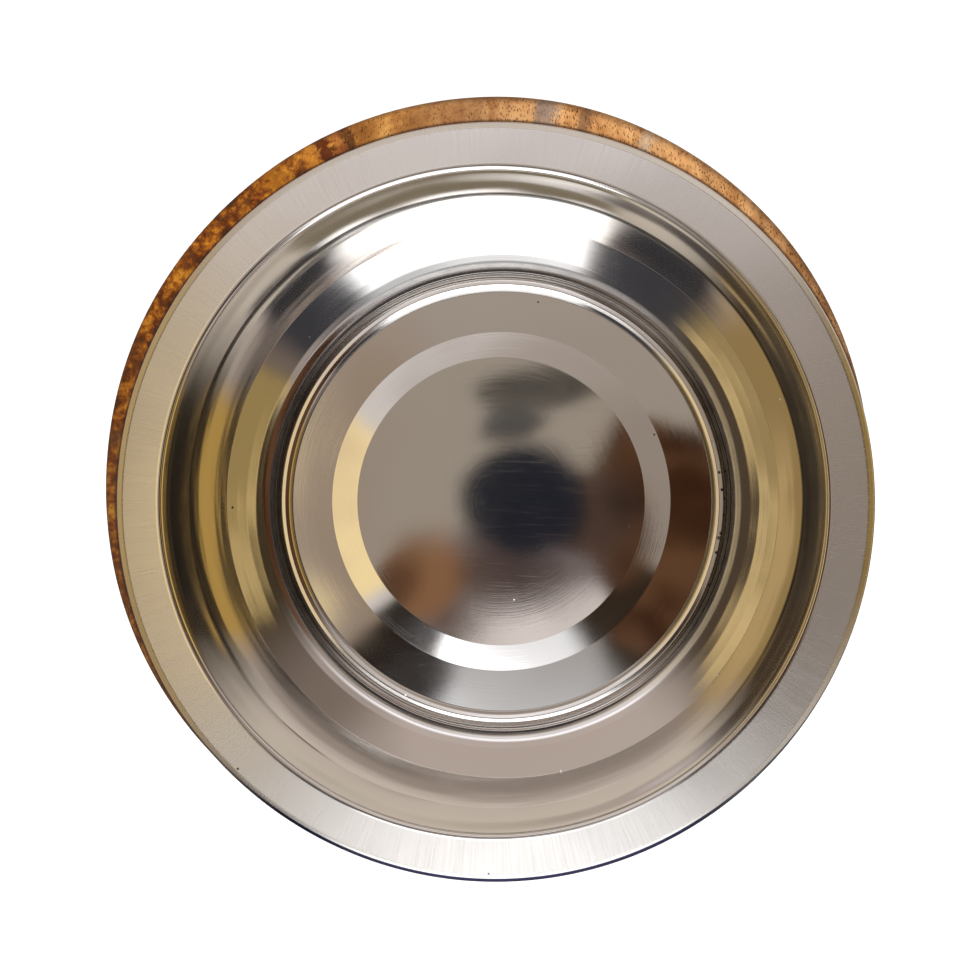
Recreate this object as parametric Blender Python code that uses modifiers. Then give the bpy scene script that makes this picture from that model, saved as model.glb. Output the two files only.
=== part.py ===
"""Baptismal font: a round stainless basin that rests in a turned-wood pedestal.

The pedestal is built up from turned sections (plinth, base moulding, lower
column, knop, upper column, collar, bowl housing) that plug into each other
with tenons and are drawn together by one threaded tie rod.  Dowels stop the
sections from turning on each other.  The basin hangs by its turned-down lip
on the rim of the housing and lifts straight out.

Metres, +Z up.  The origin is on the floor, under the centre of the plinth.
"""
import math

import bpy
import bmesh
from mathutils import Matrix, Vector

# ----------------------------------------------------------------- dimensions
GAP = 0.0003               # clearance between pieces that touch

SEG_LARGE = 40             # facets round the basin, the housing and the base
SEG_COLUMN = 24            # facets round the collar and the column sections
SEG_SMALL = 12             # facets round feet, nuts, washers and dowels

TOTAL_H = 0.900            # floor to the crown of the basin flange

# Basin, spun from stainless sheet.  Depths are below the crown of the flange.
SHEET = 0.0010             # sheet thickness
FLANGE_R = 0.1500          # outside of the turned-down lip
SHOULDER_R = 0.1470        # where the flange turns down into the lip
SHOULDER_DROP = 0.0013     # fall of the flange from its crown to the shoulder
LIP_DROP = 0.0038          # bottom edge of the lip
CROWN_R = 0.1332           # crown of the flange, next to the inner roll
ROLL_R = 0.0032            # radius of the inner roll
NECK_R = 0.1287            # top of the sloping neck, under the inner roll
NECK_DEPTH = 0.0062
CREASE_R = 0.1240          # foot of the neck, where the steep wall starts
CREASE_DEPTH = 0.0180
WALL_FOOT_R = 0.1192       # where the steep wall meets the sloping bottom
WALL_FOOT_DEPTH = 0.0631
SLOPE_MID_R = 0.1080       # the sloping bottom is slightly hollow here
SLOPE_MID_DEPTH = 0.0680
SLOPE_FOOT_R = 0.1001      # where it meets the groove
SLOPE_FOOT_DEPTH = 0.0710
GROOVE_R = 0.0989          # groove round the bead
GROOVE_DEPTH = 0.0719
BEAD_R = 0.0940            # crest of the bead inside the groove
BEAD_DEPTH = 0.0692
BEAD_W = 0.0029            # half width of the bead
RING_OUT_DEPTH = 0.0707    # floor ring next to the bead
RING_MID_R = 0.0736        # where the steeper inner part of the ring ends
RING_MID_DEPTH = 0.0696
DISC_R = 0.0624            # raised flat disc in the middle of the floor
DISC_DEPTH = 0.0682
BASIN_X = 0.0036           # the basin sits off the centre of the housing
BASIN_Y = -0.0078
BASIN_LIFT = 0.150         # how far the basin is raised to clear the housing

# Bowl housing, turned from wood
WOOD_TOP = TOTAL_H - LIP_DROP - GAP
HOUSING_R = 0.1523         # outside of the rim
HOUSING_OPEN_R = 0.1400    # mouth of the hollow
RIM_ROUND_OUT = 0.0024     # rounding of the outer edge of the rim
RIM_ROUND_IN = 0.0010
HOUSING_H = 0.1350         # height of the housing
HOUSING_STRAIGHT = 0.0300  # straight part of the outside under the rim
HOUSING_FOOT_R = 0.0800
HOLLOW_DEPTH = 0.0980      # rim to the floor of the hollow
HOLLOW_STRAIGHT = 0.0420
HOLLOW_FLOOR_R = 0.0850
HOUSING_BOTTOM = WOOD_TOP - HOUSING_H
HOLLOW_FLOOR = WOOD_TOP - HOLLOW_DEPTH

# Tie rod and its bore (M12)
ROD_R = 0.0060
BORE_R = 0.0068
NUT_FLATS = 0.018
NUT_H = 0.0100
WASHER_R = 0.0120
WASHER_T = 0.0025
RECESS_R = 0.0300          # recess for the nut under the plinth
RECESS_H = 0.0180

# Collar and column
COLLAR_H = 0.0180
COLLAR_R = 0.0860          # flats of the collar; the bead stands out from it
COLLAR_BULGE = 0.0080
COLLAR_TOP = HOUSING_BOTTOM - GAP
CAP_TOP = COLLAR_TOP - COLLAR_H - GAP
CAP_R = 0.0700
TENON_TOP_R = 0.0300       # upper column into the housing
TENON_TOP_IN = 0.0120      # how far it enters the housing
KNOP_TOP = 0.4600
KNOP_BOTTOM = 0.4000
KNOP_R = 0.0790
KNOP_FILLET_R = 0.0580
TENON_MID_R = 0.0250       # upper column through the knop
TENON_MID_IN = 0.0250      # how far it enters the lower column
WAIST_UP_R = 0.0405
WAIST_LOW_R = 0.0455
LOWER_TOP = KNOP_BOTTOM - GAP
LOWER_BOTTOM = 0.1003
LOWER_FOOT_R = 0.0740
TENON_LOW_R = 0.0300       # lower column into the base moulding
TENON_LOW_IN = 0.0200

# Base
MOULD_TOP = LOWER_BOTTOM - GAP
MOULD_TOP_R = 0.0850
MOULD_FOOT_R = 0.1580
FOOT_H = 0.0080            # floor to the underside of the plinth
PLINTH_TOP = 0.0480
PLINTH_R = 0.2000
PLINTH_EDGE = 0.0120       # height and depth of the rounded top edge
PLINTH_CHAMFER = 0.0060
MOULD_BOTTOM = PLINTH_TOP + GAP

# Rubber feet and their screws
FEET = 4
FEET_R = 0.1600            # radius of the circle of feet
FOOT_R = 0.0165
FOOT_RECESS_R = 0.0055
FOOT_HOLE_R = 0.0026
SCREW_R = 0.0020
SCREW_HEAD_R = 0.0045
SCREW_TOP = 0.0260

# Dowels
DOWEL_R = 0.0040
DOWEL_H = 0.0240
DOWELS = 3
COLLAR_DOWEL_CIRCLE = 0.0560
BASE_DOWEL_CIRCLE = 0.1150

# ------------------------------------------------------------------- scene
for ob in list(bpy.data.objects):
    bpy.data.objects.remove(ob, do_unlink=True)

font = bpy.data.collections.new("baptismal_font")
cutters = bpy.data.collections.new("cutters")
bpy.context.scene.collection.children.link(font)
bpy.context.scene.collection.children.link(cutters)


def material(name, colour, roughness, metallic):
    mat = bpy.data.materials.new(name)
    mat.use_nodes = True
    shader = mat.node_tree.nodes["Principled BSDF"]
    shader.inputs["Base Color"].default_value = (*colour, 1.0)
    shader.inputs["Roughness"].default_value = roughness
    shader.inputs["Metallic"].default_value = metallic
    return mat


STEEL = material("stainless_steel", (0.62, 0.60, 0.57), 0.22, 1.0)
WOOD = material("turned_wood", (0.50, 0.27, 0.11), 0.45, 0.0)
DOWEL_WOOD = material("dowel_wood", (0.68, 0.50, 0.30), 0.60, 0.0)
ZINC = material("zinc_plated_steel", (0.55, 0.55, 0.55), 0.35, 1.0)
RUBBER = material("rubber", (0.03, 0.03, 0.03), 0.80, 0.0)


# ------------------------------------------------------------------- profiles
def arc(cr, cz, rr, rz, a0, a1, n):
    """Points on an ellipse round (cr, cz) from angle a0 to a1, in degrees."""
    pts = []
    for i in range(n + 1):
        a = math.radians(a0 + (a1 - a0) * i / n)
        pts.append((cr + rr * math.cos(a), cz + rz * math.sin(a)))
    return pts


def waist(r_top, r_mid, r_bot, z_top, z_bot, n):
    """A slow hollow taper between two radii that passes through r_mid."""
    pts = []
    for i in range(n + 1):
        t = i / n
        q = (1 - t) * (1 - t) * r_top + 2 * t * (1 - t) * (
            2 * r_mid - 0.5 * (r_top + r_bot)) + t * t * r_bot
        pts.append((q, z_top + (z_bot - z_top) * t))
    return pts


def bezier(p0, p1, p2, n):
    """Points on a quadratic curve from p0 to p2 with the handle p1."""
    pts = []
    for i in range(n + 1):
        t = i / n
        a, b, c = (1 - t) ** 2, 2 * t * (1 - t), t * t
        pts.append((a * p0[0] + b * p1[0] + c * p2[0],
                    a * p0[1] + b * p1[1] + c * p2[1]))
    return pts


def clean(pts, eps=1e-6):
    out = []
    for p in pts:
        if not out or abs(p[0] - out[-1][0]) > eps or abs(p[1] - out[-1][1]) > eps:
            out.append(p)
    return out


# -------------------------------------------------------------------- builders
def evaluated_mesh(ob):
    """Give the object its evaluated mesh and drop the modifiers."""
    bpy.context.view_layer.update()
    dg = bpy.context.evaluated_depsgraph_get()
    me = bpy.data.meshes.new_from_object(ob.evaluated_get(dg))
    ob.modifiers.clear()
    ob.data = me


def finish(ob, mat, angle=32.0):
    ob.data.materials.clear()
    ob.data.materials.append(mat)
    ob.data.shade_smooth()
    ob.data.set_sharp_from_angle(angle=math.radians(angle))


def turned(name, pts, seg, mat, closed=True, sheet=0.0, location=(0, 0, 0),
           collection=font, angle=32.0):
    """Turn a profile of (radius, height) points about Z.

    A closed profile is a ring with a bore.  An open one starts and ends on the
    axis, or, with a sheet thickness, is the visible side of a sheet.
    """
    pts = clean(pts)
    me = bpy.data.meshes.new(name)
    bm = bmesh.new()
    verts = [bm.verts.new((r, 0.0, z)) for r, z in pts]
    for a, b in zip(verts, verts[1:]):
        bm.edges.new((a, b))
    if closed:
        bm.edges.new((verts[-1], verts[0]))
    bm.to_mesh(me)
    bm.free()
    ob = bpy.data.objects.new(name, me)
    collection.objects.link(ob)
    screw = ob.modifiers.new("turn", "SCREW")
    screw.axis = "Z"
    screw.angle = 2 * math.pi
    screw.steps = seg
    screw.render_steps = seg
    screw.use_merge_vertices = True
    screw.merge_threshold = 0.00002
    screw.use_smooth_shade = True
    if sheet:
        solid = ob.modifiers.new("sheet", "SOLIDIFY")
        solid.thickness = sheet
        solid.offset = -1.0
        solid.use_even_offset = True
        solid.use_rim = True
    evaluated_mesh(ob)
    finish(ob, mat, angle)
    ob.location = location
    return ob


def rod(name, radius, z0, z1, seg, mat, x=0.0, y=0.0, chamfer=0.0,
        collection=font):
    """A round bar along Z with chamfered ends."""
    c = chamfer
    pts = [(0.0, z1), (radius - c, z1)]
    if c:
        pts.append((radius, z1 - c))
        pts.append((radius, z0 + c))
    else:
        pts.append((radius, z0))
    pts += [(radius - c, z0), (0.0, z0)]
    return turned(name, pts, seg, mat, closed=False, location=(x, y, 0.0),
                  collection=collection, angle=50.0)


def cutter(name, radius, z0, z1, x, y, seg=SEG_SMALL):
    me = bpy.data.meshes.new(name)
    bm = bmesh.new()
    bmesh.ops.create_cone(bm, cap_ends=True, cap_tris=False, segments=seg,
                          radius1=radius, radius2=radius, depth=z1 - z0)
    bm.to_mesh(me)
    bm.free()
    ob = bpy.data.objects.new(name, me)
    cutters.objects.link(ob)
    ob.location = (x, y, 0.5 * (z0 + z1))
    ob.hide_render = True
    ob.display_type = "WIRE"
    return ob


def cut(ob, tool):
    mod = ob.modifiers.new("cut_" + tool.name, "BOOLEAN")
    mod.operation = "DIFFERENCE"
    mod.solver = "EXACT"
    mod.object = tool


def hex_nut(name, z0, z1, mat):
    """A hexagon nut: six flats round a bore, with the corners turned off."""
    corner = NUT_FLATS / math.sqrt(3.0)
    me = bpy.data.meshes.new(name)
    bm = bmesh.new()
    bmesh.ops.create_cone(bm, cap_ends=True, cap_tris=False, segments=6,
                          radius1=corner, radius2=corner, depth=z1 - z0)
    bm.to_mesh(me)
    bm.free()
    ob = bpy.data.objects.new(name, me)
    font.objects.link(ob)
    ob.location = (0.0, 0.0, 0.5 * (z0 + z1))
    cut(ob, cutter("cut_" + name, ROD_R + GAP, z0 - 0.002, z1 + 0.002, 0.0, 0.0))
    evaluated_mesh(ob)
    bev = ob.modifiers.new("corners", "BEVEL")
    bev.width = 0.0005
    bev.segments = 1
    bev.limit_method = "ANGLE"
    bev.angle_limit = math.radians(50.0)
    evaluated_mesh(ob)
    finish(ob, mat, 40.0)
    return ob


# ----------------------------------------------------------------------- basin
def basin_profile():
    """The visible side of the basin, from the centre of the floor to the lip."""
    pts = [(0.0, -DISC_DEPTH), (DISC_R, -DISC_DEPTH)]
    # floor ring falls outwards to the bead, steeper next to the disc
    pts += [(RING_MID_R, -RING_MID_DEPTH)]
    pts += [(BEAD_R - BEAD_W, -RING_OUT_DEPTH)]
    # bead
    pts += arc(BEAD_R, -RING_OUT_DEPTH, BEAD_W - 0.0006,
               RING_OUT_DEPTH - BEAD_DEPTH, 150.0, 30.0, 2)
    # groove, then the sloping bottom up to the foot of the wall
    pts += [(GROOVE_R, -GROOVE_DEPTH)]
    pts += [(SLOPE_FOOT_R, -SLOPE_FOOT_DEPTH)]
    pts += [(SLOPE_MID_R, -SLOPE_MID_DEPTH)]
    pts += [(WALL_FOOT_R - 0.0011, -WALL_FOOT_DEPTH - 0.0004)]
    pts += [(WALL_FOOT_R + 0.0001, -WALL_FOOT_DEPTH + 0.0011)]
    # steep wall, crease and neck
    pts += [(CREASE_R, -CREASE_DEPTH)]
    pts += [(NECK_R, -NECK_DEPTH)]
    roll_r = CROWN_R - 0.0002
    neck_top = arc(roll_r, -ROLL_R, ROLL_R, ROLL_R, 152.0, 90.0, 2)
    pts += neck_top
    # flange and turned-down lip
    pts += [(SHOULDER_R, -SHOULDER_DROP)]
    pts += arc(SHOULDER_R, -SHOULDER_DROP - 0.0022, FLANGE_R - SHOULDER_R,
               0.0022, 62.0, 0.0, 2)
    pts += [(FLANGE_R, -LIP_DROP)]
    return pts


basin = turned("basin", basin_profile(), SEG_LARGE, STEEL, closed=False,
               sheet=SHEET, location=(BASIN_X, BASIN_Y, TOTAL_H), angle=24.0)


# --------------------------------------------------------------- bowl housing
def housing_profile():
    pts = [(BORE_R, HOLLOW_FLOOR)]
    # floor of the hollow, its corner and the inside wall
    pts += arc(HOLLOW_FLOOR_R, WOOD_TOP - HOLLOW_STRAIGHT,
               HOUSING_OPEN_R - HOLLOW_FLOOR_R,
               HOLLOW_DEPTH - HOLLOW_STRAIGHT, -90.0, 0.0, 5)
    # rim: small inner round, flat top, larger outer round
    pts += [(HOUSING_OPEN_R, WOOD_TOP - RIM_ROUND_IN),
            (HOUSING_OPEN_R + RIM_ROUND_IN, WOOD_TOP)]
    pts += arc(HOUSING_R - RIM_ROUND_OUT, WOOD_TOP - RIM_ROUND_OUT,
               RIM_ROUND_OUT, RIM_ROUND_OUT, 90.0, 0.0, 2)
    # outside: straight band, quirk, then a full curve to the foot
    band = WOOD_TOP - HOUSING_STRAIGHT
    pts += [(HOUSING_R, band), (HOUSING_R - 0.003, band - 0.003)]
    pts += arc(HOUSING_FOOT_R, band - 0.003,
               HOUSING_R - 0.003 - HOUSING_FOOT_R,
               HOUSING_H - HOUSING_STRAIGHT - 0.003 - 0.006, 0.0, -90.0, 6)
    pts += [(HOUSING_FOOT_R, HOUSING_BOTTOM)]
    # mortise for the column's tenon
    m = TENON_TOP_R + GAP
    pts += [(m, HOUSING_BOTTOM), (m, HOUSING_BOTTOM + TENON_TOP_IN + GAP),
            (BORE_R, HOUSING_BOTTOM + TENON_TOP_IN + GAP)]
    return pts


housing = turned("bowl_housing", housing_profile(), SEG_LARGE, WOOD)


# ---------------------------------------------------------------------- collar
def collar_profile():
    b = TENON_TOP_R + GAP
    zt, zb = COLLAR_TOP, COLLAR_TOP - COLLAR_H
    mid = 0.5 * (zt + zb)
    pts = [(b, zt), (COLLAR_R - 0.002, zt), (COLLAR_R - 0.002, zt - 0.002)]
    pts += arc(COLLAR_R - 0.002, mid, COLLAR_BULGE, 0.5 * COLLAR_H - 0.002,
               90.0, -90.0, 5)
    pts += [(COLLAR_R - 0.002, zb), (b, zb)]
    return pts


collar = turned("bowl_collar", collar_profile(), SEG_COLUMN, WOOD)


# ---------------------------------------------------------------- upper column
def upper_profile():
    top = HOUSING_BOTTOM + TENON_TOP_IN
    pts = [(BORE_R, top), (TENON_TOP_R, top), (TENON_TOP_R, CAP_TOP),
           (CAP_R, CAP_TOP), (CAP_R, CAP_TOP - 0.010)]
    # cove under the capital
    pts += bezier((CAP_R - 0.003, CAP_TOP - 0.013),
                  (0.0460, CAP_TOP - 0.016), (0.0445, CAP_TOP - 0.052), 4)
    # small astragal, then the long hollow taper of the shaft
    pts += arc(0.0440, CAP_TOP - 0.058, 0.0050, 0.0050, 75.0, -75.0, 3)
    pts += waist(0.0435, WAIST_UP_R, 0.0470, CAP_TOP - 0.064,
                 KNOP_TOP + 0.026, 4)
    pts += bezier((0.0470, KNOP_TOP + 0.026), (0.0475, KNOP_TOP + 0.012),
                  (0.0550, KNOP_TOP + 0.008), 2)
    pts += [(0.0550, KNOP_TOP + GAP), (TENON_MID_R, KNOP_TOP + GAP)]
    low = LOWER_TOP - TENON_MID_IN
    pts += [(TENON_MID_R, low), (BORE_R, low)]
    return pts


upper = turned("column_upper", upper_profile(), SEG_COLUMN, WOOD)


# ------------------------------------------------------------------------ knop
def knop_profile():
    b = TENON_MID_R + GAP
    mid = 0.5 * (KNOP_TOP + KNOP_BOTTOM)
    pts = [(b, KNOP_TOP), (KNOP_FILLET_R, KNOP_TOP),
           (KNOP_FILLET_R, KNOP_TOP - 0.007)]
    pts += arc(KNOP_FILLET_R - 0.002, mid, KNOP_R - KNOP_FILLET_R + 0.002,
               0.5 * (KNOP_TOP - KNOP_BOTTOM) - 0.007, 82.0, -82.0, 7)
    pts += [(KNOP_FILLET_R, KNOP_BOTTOM + 0.007),
            (KNOP_FILLET_R, KNOP_BOTTOM), (b, KNOP_BOTTOM)]
    return pts


knop = turned("column_knop", knop_profile(), SEG_COLUMN, WOOD)


# ---------------------------------------------------------------- lower column
def lower_profile():
    m = TENON_MID_R + GAP
    sock = LOWER_TOP - TENON_MID_IN - GAP
    pts = [(BORE_R, sock), (m, sock), (m, LOWER_TOP), (0.0550, LOWER_TOP),
           (0.0550, LOWER_TOP - 0.008)]
    pts += bezier((0.0475, LOWER_TOP - 0.012), (0.0470, LOWER_TOP - 0.020),
                  (0.0468, LOWER_TOP - 0.026), 2)
    pts += waist(0.0468, WAIST_LOW_R, 0.0560, LOWER_TOP - 0.026,
                 LOWER_BOTTOM + 0.050, 4)
    # astragal above the foot and the cove that spreads to it
    pts += arc(0.0565, LOWER_BOTTOM + 0.044, 0.0050, 0.0050, 75.0, -75.0, 3)
    pts += bezier((0.0570, LOWER_BOTTOM + 0.038), (0.0585, LOWER_BOTTOM + 0.014),
                  (LOWER_FOOT_R - 0.002, LOWER_BOTTOM + 0.010), 4)
    pts += [(LOWER_FOOT_R, LOWER_BOTTOM + 0.008), (LOWER_FOOT_R, LOWER_BOTTOM)]
    low = LOWER_BOTTOM - TENON_LOW_IN
    pts += [(TENON_LOW_R, LOWER_BOTTOM), (TENON_LOW_R, low), (BORE_R, low)]
    return pts


lower = turned("column_lower", lower_profile(), SEG_COLUMN, WOOD)


# --------------------------------------------------------------- base moulding
def moulding_profile():
    m = TENON_LOW_R + GAP
    sock = LOWER_BOTTOM - TENON_LOW_IN - GAP
    pts = [(BORE_R, sock), (m, sock), (m, MOULD_TOP),
           (MOULD_TOP_R, MOULD_TOP), (MOULD_TOP_R, MOULD_TOP - 0.006)]
    # cove, then a round nose
    pts += bezier((MOULD_TOP_R + 0.002, MOULD_TOP - 0.008),
                  (MOULD_TOP_R + 0.014, MOULD_BOTTOM + 0.017),
                  (MOULD_FOOT_R - 0.014, MOULD_BOTTOM + 0.0145), 5)
    pts += arc(MOULD_FOOT_R - 0.0065, MOULD_BOTTOM + 0.0065, 0.0065, 0.0065,
               100.0, -60.0, 4)
    pts += [(MOULD_FOOT_R - 0.0040, MOULD_BOTTOM), (BORE_R, MOULD_BOTTOM)]
    return pts


moulding = turned("base_moulding", moulding_profile(), SEG_LARGE, WOOD)


# ---------------------------------------------------------------------- plinth
def plinth_profile():
    pts = [(BORE_R, PLINTH_TOP), (PLINTH_R - PLINTH_EDGE - 0.002, PLINTH_TOP),
           (PLINTH_R - PLINTH_EDGE - 0.002, PLINTH_TOP - 0.002)]
    pts += arc(PLINTH_R - PLINTH_EDGE, PLINTH_TOP - 0.002 - PLINTH_EDGE,
               PLINTH_EDGE, PLINTH_EDGE, 90.0, 0.0, 4)
    pts += [(PLINTH_R, FOOT_H + PLINTH_CHAMFER),
            (PLINTH_R - PLINTH_CHAMFER, FOOT_H), (RECESS_R, FOOT_H),
            (RECESS_R, FOOT_H + RECESS_H), (BORE_R, FOOT_H + RECESS_H)]
    return pts


plinth = turned("base_plinth", plinth_profile(), SEG_LARGE, WOOD)


# --------------------------------------------------------- tie rod, nuts, washers
rod_low = FOOT_H + RECESS_H - GAP - WASHER_T - GAP - NUT_H - 0.002
rod_high = HOLLOW_FLOOR + GAP + WASHER_T + GAP + NUT_H + 0.003
rod("tie_rod", ROD_R, rod_low, rod_high, SEG_SMALL, ZINC, chamfer=0.001)


def washer(name, z0):
    pts = [(BORE_R, z0 + WASHER_T), (WASHER_R, z0 + WASHER_T), (WASHER_R, z0),
           (BORE_R, z0)]
    return turned(name, pts, SEG_SMALL, ZINC)


washer("bottom_washer", FOOT_H + RECESS_H - GAP - WASHER_T)
hex_nut("bottom_nut", FOOT_H + RECESS_H - 2 * GAP - WASHER_T - NUT_H,
        FOOT_H + RECESS_H - 2 * GAP - WASHER_T, ZINC)
washer("top_washer", HOLLOW_FLOOR + GAP)
hex_nut("top_nut", HOLLOW_FLOOR + 2 * GAP + WASHER_T,
        HOLLOW_FLOOR + 2 * GAP + WASHER_T + NUT_H, ZINC)


# ---------------------------------------------------------------------- dowels
def dowel_set(stem, circle, z_joint, ob_above, ob_below, start):
    """Dowels half in the piece above a joint and half in the piece below."""
    for i in range(DOWELS):
        a = math.radians(start + 360.0 * i / DOWELS)
        x, y = circle * math.cos(a), circle * math.sin(a)
        name = "%s_%d" % (stem, i + 1)
        half = 0.5 * DOWEL_H
        rod(name, DOWEL_R, z_joint - half, z_joint + half, SEG_SMALL,
            DOWEL_WOOD, x, y, chamfer=0.0008)
        hole = cutter("cut_" + name, DOWEL_R + GAP, z_joint - half - GAP,
                      z_joint + half + GAP, x, y)
        cut(ob_above, hole)
        cut(ob_below, hole)


dowel_set("collar_dowel", COLLAR_DOWEL_CIRCLE, COLLAR_TOP, housing, collar, 90.0)
dowel_set("base_dowel", BASE_DOWEL_CIRCLE, PLINTH_TOP, moulding, plinth, 90.0)

# ------------------------------------------------------------------ rubber feet
for i in range(FEET):
    a = math.radians(45.0 + 360.0 * i / FEET)
    x, y = FEET_R * math.cos(a), FEET_R * math.sin(a)
    zt = FOOT_H - GAP
    pts = [(FOOT_HOLE_R, zt), (FOOT_R - 0.002, zt), (FOOT_R, 0.0012),
           (FOOT_R - 0.0012, 0.0), (FOOT_RECESS_R, 0.0),
           (FOOT_RECESS_R, 0.0043), (FOOT_HOLE_R, 0.0043)]
    turned("foot_%d" % (i + 1), pts, SEG_SMALL, RUBBER, location=(x, y, 0.0))
    pts = [(0.0, SCREW_TOP), (SCREW_R, SCREW_TOP - 0.0035), (SCREW_R, 0.0040),
           (SCREW_HEAD_R, 0.0040), (SCREW_HEAD_R, 0.0022),
           (SCREW_HEAD_R - 0.0014, 0.0008), (0.0, 0.0008)]
    turned("foot_screw_%d" % (i + 1), pts, 12, ZINC, closed=False,
           location=(x, y, 0.0))
    hole = cutter("cut_foot_screw_%d" % (i + 1), SCREW_R + GAP, FOOT_H - 0.002,
                  SCREW_TOP + GAP, x, y, 12)
    cut(plinth, hole)
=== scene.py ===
"""Looks of the baptismal font: spun stainless basin in a turned-wood pedestal."""
import math

import bpy
import numpy as np
from mathutils import Matrix, Vector


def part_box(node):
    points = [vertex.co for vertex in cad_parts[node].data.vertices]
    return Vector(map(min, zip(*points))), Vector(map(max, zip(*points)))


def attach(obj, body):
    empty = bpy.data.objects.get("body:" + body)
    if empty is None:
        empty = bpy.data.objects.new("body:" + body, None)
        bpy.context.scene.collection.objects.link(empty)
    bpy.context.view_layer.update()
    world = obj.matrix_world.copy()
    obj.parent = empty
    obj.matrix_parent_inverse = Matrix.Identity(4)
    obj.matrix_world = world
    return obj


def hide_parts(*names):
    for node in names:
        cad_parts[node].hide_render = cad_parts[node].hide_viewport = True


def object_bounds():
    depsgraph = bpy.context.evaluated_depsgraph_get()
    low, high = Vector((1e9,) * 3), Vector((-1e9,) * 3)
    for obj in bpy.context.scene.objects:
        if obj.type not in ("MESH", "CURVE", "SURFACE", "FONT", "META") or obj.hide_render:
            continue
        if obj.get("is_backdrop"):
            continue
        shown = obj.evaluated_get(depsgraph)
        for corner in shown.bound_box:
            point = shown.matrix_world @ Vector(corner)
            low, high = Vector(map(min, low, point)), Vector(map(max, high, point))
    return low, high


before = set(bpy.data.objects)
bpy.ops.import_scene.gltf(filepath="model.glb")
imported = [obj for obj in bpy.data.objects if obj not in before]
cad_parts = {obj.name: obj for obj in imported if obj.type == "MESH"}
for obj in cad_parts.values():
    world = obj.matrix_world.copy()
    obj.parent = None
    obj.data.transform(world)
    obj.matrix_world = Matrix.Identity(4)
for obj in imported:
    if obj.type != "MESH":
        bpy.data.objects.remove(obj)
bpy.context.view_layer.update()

MM = 0.001


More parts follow.
